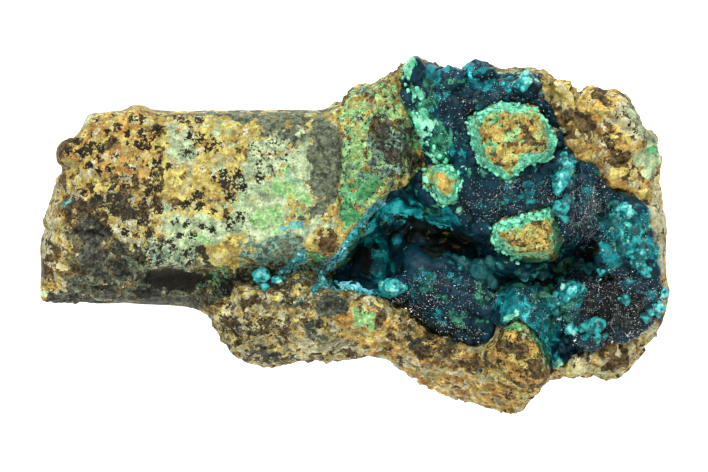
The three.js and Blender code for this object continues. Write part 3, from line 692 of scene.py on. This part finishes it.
warp = wander(points, octaves=4)
shares = [soft(depth_inside(outline, seen + warp), -edge, edge) for outline, _, edge in ROCK_BASES]
ring_width = RING_WIDTH + RING_WAVE * lumps(points, size=1.6, octaves=3, seed=83)
in_crust = depth_inside(FRAGMENTS["low"], seen) < -CRUST_OVERLAP
ringed = soft(rings, *RING_EDGE) * soft(points[:, 2], *RING_HEIGHTS) * in_crust
worn = {"charcoal": CHARCOAL_WEAR * jointed * joint_edges}
halo = {"pale_green": ABSENT + HALO_STRENGTH * ringed * soft(rings, ring_width + HALO_WIDTH, ring_width)}
for number, (name, ovals) in enumerate(ROCK_STAINS.items()):
    level = SIDES.get(name, ABSENT) + UNEVEN * lumps(points, size=8, octaves=3, seed=STAIN_SEED + number)
    open_level = level.copy()
    for share, (_, base_levels, _) in zip(shares, ROCK_BASES):
        open_level += share * (base_levels.get(name, ABSENT) - open_level)
    open_level = np.maximum(open_level, halo.get(name, ABSENT))
    # Emerald keeps to the edges it was drawn along
    places = seen if name == "emerald" else seen + warp
    open_level = np.maximum(open_level, stained(places, ovals))
    open_level -= worn.get(name, 0)
    keep(rock, name, level + upper * (open_level - level))
rimmed = soft(nearest_line(RIMS, seen + RIM_WARP * warp), *RIM_EDGE)
keep(rock, "rim", ABSENT + RIM_STRENGTH * rimmed * upper)
mint = ringed * soft(rings, ring_width + RING_FADE, ring_width - RING_FADE)
mint *= 1 - np.clip(stained(seen, BARE_EDGES), 0, 1)
keep(rock, "mint", ABSENT + RING_STRENGTH * mint)
chance = np.random.default_rng(SPOT_SEED)
spots = []
for spot in chance.uniform(*SPOT_AREA, (SPOTS, 2)):
    spotted = stained(spot[None], SPOTTED)[0] > chance.uniform()
    if spotted and all(math.dist(spot, near) > SPOT_SPACING for near in spots):
        spots.append(spot)
beyond = np.full(len(points), np.inf)
for spot, radius in zip(spots, chance.uniform(*SPOT_SIZES, len(spots))):
    beyond = np.minimum(beyond, np.linalg.norm(seen - spot, axis=1) - radius)
keep(rock, "spots", ABSENT + upper * np.clip(SPOT_EDGE - SPOT_FADE * beyond - ABSENT, 0, SPOT_STRENGTH))
# Painted shade: breaks lighter or darker than their stains by tilt and height, and painted highlights on
# edges
painted_shade_and_tone = 0.25 * small + broken * (0.2 * splinters + 0.12 * splinter_shades + 0.15 * facet_shades)
painted_shade_and_tone += blocky * (0.2 * block_shades + 0.15 * block_edge_highlights)
painted_shade_and_tone += jointed * (0.6 * joint_shades + 0.4 * splinter_shades + 0.5 * joint_edges)
# A random tone for each grain of the ledge and the slab
painted_shade_and_tone += (0.34 * ledge + 0.1 * slab) * grain_shades
# Painted shadow in the recesses beside the jointed rock, and darker cracks
recess_shadow = np.clip(stained(seen, SHADOWED_RECESSES), 0, 1) * upper
keep(rock, "painted_shade_and_tone", np.clip(painted_shade_and_tone, *PAINTED_SHADE_LIMITS) - CRACK_SHADE * cracked - RECESS_SHADE * recess_shadow)
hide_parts("matrix")

# Chrysocolla lining
# The hollow is lined with a crust of chrysocolla that grew as tiny grapes side by side. It is navy where it
# is thick and dark, teal and mint where it is thin or freshly broken.
LINING_VOXEL = 0.32
LINING_SETTLE = 4
# How far grapes and crags stand out, and how far the surface between them sinks, in millimetres
LARGE_GRAPE = 0.8
SMALL_GRAPE = 0.3
LINING_LUMP = 0.3
CRAG = 0.9
LINING_SINK = 0.2
USUAL_GRAPE = 0.7
FACING_SLOPES = (-0.5, 0.1)
CRAGS_FROM_Y = (22, 25)
CYAN_STRENGTH = 1.2
CYAN_EDGE = (0.7, 0.2)
CYAN_WARP = 0.3
SMALL_GRAPE_SHADE = 0.5
LARGE_GRAPE_SHADE = 0.6
# Stains on the lining, as soft ovals from above
LINING_STAINS = {
    "teal": [
        (7.6, 4.2, 4.4, 1.9, 1.15), (4.3, -3.2, 2, 5, 1.05), (2, 1, 3, 2.4, 1), (16, -8.3, 11, 6, 0.26),
        (10.8, -6.2, 1.6, 1.4, 0.7), (18, -8.5, 1.4, 1.2, 0.6), (28, -11.8, 4, 5.4, 1.2),
        (31.8, -16, 2.2, 6.4, 1.2, 12), (14.5, 23.5, 1.4, 1.4, 0.85), (13.6, 27.2, 1.8, 2.4, 0.7),
        (20, 26, 1.5, 1.2, 0.95, 40), (25.3, 25, 2, 1.2, 0.9, 40), (19, 28, 3.4, 1, 0.75),
        (26.6, 27, 2.6, 1.4, 0.75), (17.2, 14.4, 1.2, 1.6, 0.85), (15.6, 10.4, 2.6, 3.2, 0.6),
        (34.4, 11.3, 2.2, 3.4, 0.75), (45, 0, 6, 6, 0.8), (36, -4, 4, 3, 0.4), (47, -9, 4, 3.4, 0.45),
        (35.8, -10.4, 2.6, 3, 0.75), (39, -15, 3.4, 2, 0.6), (22, 25, 2.4, 1.4, 0.6), (13.6, 21, 1.6, 2, 0.5),
        (29, 7, 1.4, 1, 0.6), (15.3, 3, 3, 1.4, 0.95), (27, 7, 7, 3, 0.35), (21, 20, 2, 2, 0.5),
        (38, 6, 3, 5, 0.35),
    ],
    "emerald": [
        (15.5, -11.3, 2, 1.6, 0.8), (22, -9, 2.6, 3.4, 0.42), (18, -13.4, 4, 1.8, 0.42),
        (29.5, -8, 3.6, 1.2, 0.6), (32.4, -18, 0.9, 4, 0.7, 15), (36.5, -3.8, 3.4, 2, 0.7),
        (29.5, -6, 3.6, 1.2, 0.9), (17, 25.4, 1.2, 1, 0.7), (35, -13, 2, 4, 0.5), (12, 1.8, 3, 1.4, 0.5),
        (7, 1, 2, 1.6, 0.5), (12, 22, 2.4, 5, 0.6), (14.6, 16, 2, 5, 0.6), (13, 4.6, 3, 1, 0.6),
    ],
    "turquoise": [
        (7.4, 4.2, 4.4, 1.9, 0.66), (4.2, -2.6, 1.4, 4.6, 0.5), (2.6, 2, 2, 1.2, 0.8, 35),
        (28.6, -11, 1.4, 4, 0.42), (31.8, -16, 0.8, 5, 0.42, 12), (20, 26.2, 1, 0.8, 0.8),
        (25.4, 25, 1.4, 0.6, 0.7, 40), (15, 2.6, 2, 0.9, 0.6),
    ],
    "mint": [
        (9.3, 28.6, 1.4, 1.8, 0.95), (11.2, 17.4, 1.4, 4.4, 0.7), (12.6, 13.4, 1.6, 1.2, 0.7),
        (9.4, 24.2, 0.9, 3, 0.7), (34.4, 11.6, 1.4, 2.4, 0.5), (45.5, 0.5, 4.6, 4.4, 0.3),
        (28.4, 26.2, 1.6, 0.9, 0.6), (30.4, -9.4, 1.4, 1.2, 0.5), (26, -13.2, 1.6, 0.8, 0.8),
        (33.6, 5.2, 1.2, 1.1, 0.6), (17.4, 5.4, 0.8, 1.4, 0.5, 20), (33.4, -19.6, 0.5, 2.4, 0.7, 15),
        (18.5, 11.5, 1.2, 1, 0.5), (13, 20, 1, 1.4, 0.5),
    ],
    "iron": [
        (12.7, -0.2, 0.8, 0.9, 0.75), (15, 0, 0.7, 0.7, 0.7), (19.2, -0.8, 0.6, 0.9, 0.75),
        (16.8, -2.3, 0.8, 0.6, 0.7), (-1.6, -3.6, 1, 0.6, 0.6),
    ],
    # Black crust in the pockets and on the druse floor, which is also painted shadow in the deep pockets and
    # cavities
    "black_and_pocket_shadow": [
        (0.9, -3.1, 2.8, 2.6, 1.1, 35), (14, -0.1, 8, 3, 1.05, -8), (38.3, -2.8, 3.6, 2.4, 0.9),
        (43.5, -11.4, 5.6, 3.8, 0.95, -10), (30, -6.8, 4.6, 0.9, 0.7), (9, -12, 5, 1.4, 0.75, -27),
        (17.5, -15.6, 5, 1.5, 0.75, -14),
    ],
}
# How far stains cover the lining between their ovals
LINING_LEVELS = {"teal": 0.06, "emerald": 0.02}
# Where the lining is smooth, without grapes
SMOOTH_LINING = [
    (28, -12, 3.6, 5.5, 1), (31.5, -16.5, 2.4, 6, 1, 12), (15, -8, 9, 5, 0.75), (3, -2, 3.4, 6, 1),
    (8, 4, 6, 3, 1), (26, 7.4, 8, 2.6, 0.6), (39, 5, 4, 5, 0.6),
]
# Grape-like chrysocolla: waxy, with clouds of blue and green over a depth that looks almost black
waxy = {"Roughness": 0.4, "Specular IOR Level": 0.12}
chrysocolla, tree, shader = new_finish("grape_like_chrysocolla", waxy)
ragged = mosaic(tree, chunk=1.6, grain=0.5, cloud=2.6, shift=3.1)
other = mosaic(tree, chunk=0.8, grain=0.35, cloud=1.5, shift=7.7)
colour = stained_colour(tree, (ragged[1], "051720", "0f3541"), [
    ("teal", ragged[0], other[0], "0a4f56", "168084", 1.4),
    ("emerald", ragged[2], other[2], "12463a", "3f8a68", 1.4),
    # Black crust, which is partly painted shadow in the pockets
    ("black_and_pocket_shadow", ragged[2], other[1], "070b0a", "18221d", 1.4),
    ("iron", other[0], other[1], "4d431c", "93813a", 1.4),
    ("mint", other[2], ragged[0], "4a9674", "8ad0ab", 1.4),
    ("turquoise", other[0], ragged[1], "129a9d", "3cc6c4", 1.25),
    ("cyan", other[1], ragged[2], "2090b4", "8fdce6", 0.8),
])
# The kept painted shade lightens the grape tops and darkens the grooves; grit adds tone and bumps
gritty(tree, shader, colour, 1.2, speck_share=0, shades=(0.1, 1.1, 0.4, 1.6), height=0.12, strength=0.6)

shell = shell_of(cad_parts["chrysocolla_crust"].data, LINING_VOXEL)
settle(shell, LINING_SETTLE)
lining_piece = piece_from("chrysocolla_lining", shell, chrysocolla)
lining = lining_piece.data
points, outward = coordinates(lining)
seen = points[:, :2]
large = grapes(points, size=3.4, seed=7)
small = grapes(points, size=1.3, seed=19)
rough = lumps(points, size=4, octaves=3, seed=23)
crags = lumps(points, size=2.2, octaves=3, seed=33)
facing = soft(outward[:, 2], *FACING_SLOPES)
bunched = 1 - np.clip(stained(seen, SMOOTH_LINING), 0, 1)
raised = LARGE_GRAPE * bunched * large + SMALL_GRAPE * bunched * small
move = facing * (raised + LINING_LUMP * rough - LINING_SINK)
move += facing * soft(seen[:, 1], *CRAGS_FROM_Y) * (CRAG * crags - LINING_SINK)
points = points + outward * move[:, None]
move_to(lining, points)
warp = wander(points, octaves=2)
for name, ovals in LINING_STAINS.items():
    keep(lining, name, np.maximum(stained(seen + warp, ovals), LINING_LEVELS.get(name, ABSENT)))
rimmed = soft(nearest_line(RIMS, seen + CYAN_WARP * warp), *CYAN_EDGE)
keep(lining, "cyan", ABSENT + CYAN_STRENGTH * rimmed)
# Painted shade: the tops of the grapes lighter and the grooves between them darker
painted_shade_and_tone = SMALL_GRAPE_SHADE * (small - USUAL_GRAPE) + LARGE_GRAPE_SHADE * (large - USUAL_GRAPE)
keep(lining, "painted_shade_and_tone", painted_shade_and_tone)
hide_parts("chrysocolla_crust")

# Chrysocolla balls
# Turquoise balls of chrysocolla grew in clusters on the lining and in a crevice of the rock. Fine beads of it
# follow the broken rim of the hollow, the edges of the fragments and the dome's border.
BALL_VOXEL = 0.2
# Each ball by its middle, its radius and its tone, from dark to bright
BALLS = [
    (43.8, 4.7, 1.2, 0.5), (45.3, 4.2, 0.9, 0.9), (43, 2.5, 1.3, 0.35), (46.2, 1.3, 1.5, 0.45),
    (44.5, -1.7, 1.2, 0.3), (47, -2.5, 1.3, 0.4), (49.5, -2, 0.9, 0.5), (47.8, -5.2, 1, 0.5),
    (46.3, -3.7, 0.8, 0.6), (39.7, -5.3, 1.1, 0.5), (37.7, -4.3, 0.9, 0.3), (36, -8.5, 1.3, 0.7),
    (37.7, -8.5, 0.6, 0.7), (44.8, -10, 0.7, 0.6), (40, -14.5, 1.4, 0.6), (35.7, -15.2, 0.8, 0.7),
    (50.2, -11.3, 1, 0.7), (51, -9, 0.9, 0.6), (48.3, -13, 0.9, 0.5), (28, 25.5, 1, 1), (33.7, 4.8, 1.5, 0.5),
    (28, -5.7, 1.2, 0.2), (31.2, -5.8, 1.2, 0.2), (21.2, -5.5, 2.2, 0.05), (6.5, -8.2, 1.6, 0.7),
    (17.7, -4.2, 1, 0.3), (34, 10, 1.2, 0.6), (34.8, 12, 1.1, 0.5), (33.4, 8, 1, 0.7),
    (33.3, -10.4, 1.1, 0.5), (33.7, -12.3, 0.8, 0.8),
]
# Lines of fine beads on the edges of rock fragments, and on the border of the dome
CRUSTS = [
    FRAGMENTS["large"] + FRAGMENTS["large"][:1], FRAGMENTS["small"][1:] + FRAGMENTS["small"][:1],
    FRAGMENTS["middle"][3:] + FRAGMENTS["middle"][:2],
]
BORDER = [(8.5, 27.5), (9.6, 24), (10.6, 20), (12, 16), (13.5, 13.6), (16, 12.6)]
CREVICE_BALLS = [(-15.5, -6.3, 1.5, 0.8), (-12.7, -7.3, 0.9, 0.7), (-14.7, -8.3, 0.8, 0.7)]
# How deep balls sit, as a share of their radius, and the height they are set down from, in metres
SUNK = 0.2
DROP_HEIGHT = 0.1
UNEVEN_BALL = (0.9, 1.1)
BALL_SEED = 12
BALL_BUMPS = 0.3
TONE_BUMPS = 0.35
# Where balls turn paler: a level of their tone, a painted highlight added on tops facing up, and bumps
PALE_TONE_LEVEL = 0.7
TOP_HIGHLIGHT = 0.4
TOP_HIGHLIGHT_SLOPES = (0.2, 1)
PALE_TONE_BUMPS = 0.3
SMALL_BALLS = 4
SMALL_BALL_REACH = (0.8, 1.5)
SMALL_BALL_SIZES = (0.3, 0.7)
SMALL_BALL_TONES = (-0.2, 0.2)
BEAD_SPACING = 0.4
BEAD_RADII = (0.22, 0.42)
BEAD_TONES = (0.5, 1)
RIM_SPREAD = 0.3
CRUST_SPREAD = 0.35
BORDER_SPREAD = 0.9

# Turquoise chrysocolla: smooth and porcelain-like, paler with a painted highlight on ball tops, mint where
# thin
smooth = {"Roughness": 0.45, "Specular IOR Level": 0.25}
ball_finish, tree, shader = new_finish("turquoise_chrysocolla", smooth)
ragged = mosaic(tree, chunk=0.7, grain=0.35, cloud=1.4, shift=5.3)
colour = stained_colour(tree, (ragged[1], "0d3536", "1a6262"), [
    ("tone", ragged[0], ragged[2], "1c7d7b", "35a9a5", 0.9),
    # Paler tone, with a painted highlight on the tops of the balls
    ("pale_tone_and_highlight", ragged[1], ragged[0], "49bcbc", "a3d6c0", 0.9),
    ("mint", ragged[0], ragged[2], "3fae84", "8eeac2", 0.6),
])
tree.links.new(colour, shader.inputs["Base Color"])


def ground(piece):
    """The surface of a piece, for setting things down on it from above"""
    corners = [v.co for v in piece.data.vertices]
    return BVHTree.FromPolygons(corners, [p.vertices for p in piece.data.polygons])


def set_down(surface, x, y):
    """The place and the outward direction of a surface under a point, in metres"""
    place, outward, _, _ = surface.ray_cast(Vector((x * MM, y * MM, DROP_HEIGHT)), Vector((0, 0, -1)))
    return place, outward


def blank(name, make, **sizes):
    """A small mesh from one operator, to be set down many times"""
    shape = bmesh.new()
    make(shape, **sizes)
    return mesh_of(name, shape)


def set_in(shell, small_mesh, matrix):
    """Joins a moved copy of a small mesh to a shell"""
    moved = small_mesh.copy()
    moved.transform(matrix)
    shell.from_mesh(moved)
    bpy.data.meshes.remove(moved)


rng = random.Random(BALL_SEED)
lining_ground = ground(lining_piece)
rock_ground = ground(host_rock)
fine_ball = blank("fine_ball", bmesh.ops.create_icosphere, subdivisions=3, radius=1)
plain_ball = blank("plain_ball", bmesh.ops.create_icosphere, subdivisions=2, radius=1)
shell = bmesh.new()
placed = []


def put_ball(surface, x, y, radius, tone, shape, mint=0.0):
    """Sets a ball into a surface and keeps its tone and how minty it is"""
    place, outward = set_down(surface, x, y)
    if place is None:
        return
    middle = place + outward * radius * SUNK * MM
    turn = Matrix.Rotation(rng.uniform(0, math.tau), 4, outward)
    size = Matrix.Diagonal([radius * MM * rng.uniform(*UNEVEN_BALL) for _ in range(3)]).to_4x4()
    set_in(shell, shape, Matrix.Translation(middle) @ turn @ size)
    placed.append((*(middle / MM), radius, tone, mint))


def higher(x, y):
    """The surface that is met first from above, rock or lining"""
    on_lining, on_rock = set_down(lining_ground, x, y)[0], set_down(rock_ground, x, y)[0]
    lining_first = on_lining is not None and (on_rock is None or on_lining.z > on_rock.z)
    return lining_ground if lining_first else rock_ground


for x, y, radius, tone in BALLS:
    put_ball(lining_ground, x, y, radius, tone, fine_ball)
    for _ in range(SMALL_BALLS):
        around = rng.uniform(0, math.tau)
        far = radius * rng.uniform(*SMALL_BALL_REACH)
        small_radius = radius * rng.uniform(*SMALL_BALL_SIZES)
        small_x, small_y = x + far * math.cos(around), y + far * math.sin(around)
        small_tone = tone + rng.uniform(*SMALL_BALL_TONES)
        put_ball(lining_ground, small_x, small_y, small_radius, small_tone, plain_ball)
for x, y, radius, tone in CREVICE_BALLS:
    put_ball(rock_ground, x, y, radius, tone, fine_ball)
bead_lines = [(rim, RIM_SPREAD, 0) for rim in RIMS]
bead_lines += [(crust, CRUST_SPREAD, 1) for crust in CRUSTS]
bead_lines.append((BORDER, BORDER_SPREAD, 1))
for line, spread, mint in bead_lines:
    for start, end in zip(line, line[1:]):
        beads = max(1, int(math.dist(start, end) / BEAD_SPACING))
        for bead in range(beads):
            share = bead / beads
            x = start[0] + share * (end[0] - start[0]) + rng.uniform(-spread, spread)
            y = start[1] + share * (end[1] - start[1]) + rng.uniform(-spread, spread)
            put_ball(higher(x, y), x, y, rng.uniform(*BEAD_RADII), rng.uniform(*BEAD_TONES), plain_ball, mint)
shell = shell_of(mesh_of("separate_balls", shell), BALL_VOXEL)
settle(shell, 1)
balls_piece = piece_from("chrysocolla_balls", shell, ball_finish)
balls = balls_piece.data
points, outward = coordinates(balls)
placed = np.array(placed)
reach = np.linalg.norm(points[:, None] - placed[None, :, :3], axis=2) / placed[None, :, 3]
nearest = np.argmin(reach, axis=1)
tone = placed[nearest, 4]
bumps = lumps(points, size=0.9, octaves=3, seed=31)
move_to(balls, points + outward * (BALL_BUMPS * bumps)[:, None])
keep(balls, "tone", tone + TONE_BUMPS * bumps)
keep(balls, "mint", placed[nearest, 5])
# Painted highlight: the tops of the balls facing up turn paler
top_highlight = TOP_HIGHLIGHT * soft(outward[:, 2], *TOP_HIGHLIGHT_SLOPES)
keep(balls, "pale_tone_and_highlight", tone - PALE_TONE_LEVEL + top_highlight + PALE_TONE_BUMPS * bumps)

# Quartz druse
# A skin of tiny clear quartz points grew over the lining, standing out from it at all angles. They glitter
# over the dark dome and crowd together on the floor at the right.
QUARTZ_IOR = 1.544
# Where the points stand close, as soft ovals from above
DRUSE = [
    (20, 22, 13, 7, 0.13), (15, -9.5, 9, 4.6, 0.3), (42.3, -11.8, 9, 6.5, 1), (38, 5, 5, 6, 0.45),
    (10, -10.5, 4, 2.5, 0.9), (27, 7, 8, 3.5, 0.4), (29, -12, 4, 5, 0.15), (46, 0, 5, 6, 0.2),
]
FINE_DRUSE = [
    (20, 21, 14, 9, 0.22), (15, -9, 10, 4.6, 0.45), (42.3, -11.8, 9, 6.5, 1), (38, 5, 6, 7, 0.8),
    (26, 6, 10, 5, 0.5), (29, -13, 4, 7, 0.25), (46, 0, 5, 6, 0.3), (9, -12, 5, 1.6, 0.9, -27),
    (17.5, -15.6, 5, 1.6, 0.9, -14),
]
POINTS = 2800
POINT_WIDTHS = (0.18, 0.45)
FINE_POINTS = 3200
FINE_POINT_WIDTHS = (0.1, 0.24)
POINT_STRETCH = (0.8, 1.5)
LEAN = (-0.6, 0.6)
TIP_STEEPNESS = 1.1
DRUSE_SLOPES = (0.0, 0.4)
# Clear quartz: see-through and glassy, so that single faces glint
glassy = {"Base Color": linear("f3f8fa"), "Transmission Weight": 1.0, "Roughness": 0.06, "IOR": QUARTZ_IOR}
quartz, _, _ = new_finish("clear_quartz", glassy)
# Fine druse: the many small faces scatter the light, so that it looks like sugar
sugary = {"Base Color": linear("eef4f4"), "Transmission Weight": 0.25, "Roughness": 0.3, "IOR": QUARTZ_IOR}
sugary_quartz, _, _ = new_finish("sugary_quartz", sugary)


def quartz_point(shape, radius, height):
    """A six-sided prism with a point"""
    bmesh.ops.create_cone(
        shape, cap_ends=True, cap_tris=False, segments=6, radius1=radius, radius2=radius, depth=height
    )
    top = max(shape.faces, key=lambda face: face.calc_center_median().z)
    tip = bmesh.ops.poke(shape, faces=[top])["verts"]
    bmesh.ops.translate(shape, verts=tip, vec=(0, 0, TIP_STEEPNESS * radius))


def grow_druse(name, shape, material, ovals, count, widths):
    """Grows quartz points at random places of the lining, more where the ovals are strong"""
    weights = np.clip(stained(points[:, :2], ovals), 0, 1) * soft(outward[:, 2], *DRUSE_SLOPES)
    chosen = np.random.default_rng(count).choice(len(points), count, replace=False, p=weights / weights.sum())
    shell = bmesh.new()
    for number in chosen:
        place, axis = Vector(points[number] * MM), Vector(outward[number])
        lean = Vector([rng.uniform(*LEAN) for _ in range(3)])
        upright = Matrix.Translation(place) @ (axis + lean).to_track_quat("Z", "Y").to_matrix().to_4x4()
        width = rng.uniform(*widths) * MM
        size = Matrix.Diagonal((width, width, width * rng.uniform(*POINT_STRETCH), 1))
        set_in(shell, shape, upright @ Matrix.Rotation(rng.uniform(0, 1), 4, "Z") @ size)
    druse = piece_from(name, shell, material)
    druse.data.polygons.foreach_set("use_smooth", [False] * len(druse.data.polygons))


points, outward = coordinates(lining)
crystal = blank("crystal", quartz_point, radius=0.5, height=1.1)
tip = blank("tip", bmesh.ops.create_cone, cap_ends=True, segments=6, radius1=0.5, radius2=0, depth=1.2)
grow_druse("quartz_druse", crystal, quartz, DRUSE, POINTS, POINT_WIDTHS)
grow_druse("fine_quartz_druse", tip, sugary_quartz, FINE_DRUSE, FINE_POINTS, FINE_POINT_WIDTHS)

# Light table
# The specimen lies on a sheet of white acrylic, lit a little from below, so that it stands on plain white.
TABLE_SIZE = 1.6
# White acrylic: matt and even, and bright by itself
lit = {"Emission Color": linear("ffffff"), "Emission Strength": 0.75}
white, _, _ = new_finish("lit_white_acrylic", {"Base Color": linear("f4f4f4"), "Roughness": 0.6, **lit})
sheet = bmesh.new()
bmesh.ops.create_grid(sheet, x_segments=1, y_segments=1, size=TABLE_SIZE)
table_mesh = mesh_of("table", sheet)
table_mesh.materials.append(white)
table = bpy.data.objects.new("table", table_mesh)
scene.collection.objects.link(table)

# Studio light
# A wide soft light stands beyond the specimen's upper edge, with a weaker one opposite and even light all
# round.
MIDDLE_HEIGHT = 0.015
world = bpy.data.worlds.new("studio")
world.use_nodes = True
surround = world.node_tree.nodes["Background"]
surround.inputs["Color"].default_value = linear("f2f5f8")
surround.inputs["Strength"].default_value = 0.42
scene.world = world
for name, place, power, size in (
    ("key", (-0.05, 0.42, 0.55), 5.8, 0.4),
    ("fill", (0.1, -0.45, 0.5), 3.2, 0.6),
):
    light = bpy.data.lights.new(name, "AREA")
    light.energy = power
    light.size = size
    lamp = bpy.data.objects.new(name, light)
    lamp.location = place
    lamp.rotation_mode = "QUATERNION"
    lamp.rotation_quaternion = (Vector((0, 0, MIDDLE_HEIGHT)) - Vector(place)).to_track_quat("-Z", "Y")
    scene.collection.objects.link(lamp)

# Camera
# It looks straight down on the specimen through a long lens, with the photograph's frame across it.
FRAME_WIDTH = 0.118
SENSOR = 36
LENS = 250
FRAME_MIDDLE = 0.00033
FARTHEST = 10
camera_data = bpy.data.cameras.new("camera")
camera_data.sensor_width = SENSOR
camera_data.lens = LENS
camera_data.clip_end = FARTHEST
camera = bpy.data.objects.new("camera", camera_data)
camera.location = (0, FRAME_MIDDLE, MIDDLE_HEIGHT + FRAME_WIDTH * LENS / SENSOR)
scene.collection.objects.link(camera)
scene.camera = camera
scene.view_settings.view_transform = "Standard"

bpy.context.view_layer.update()
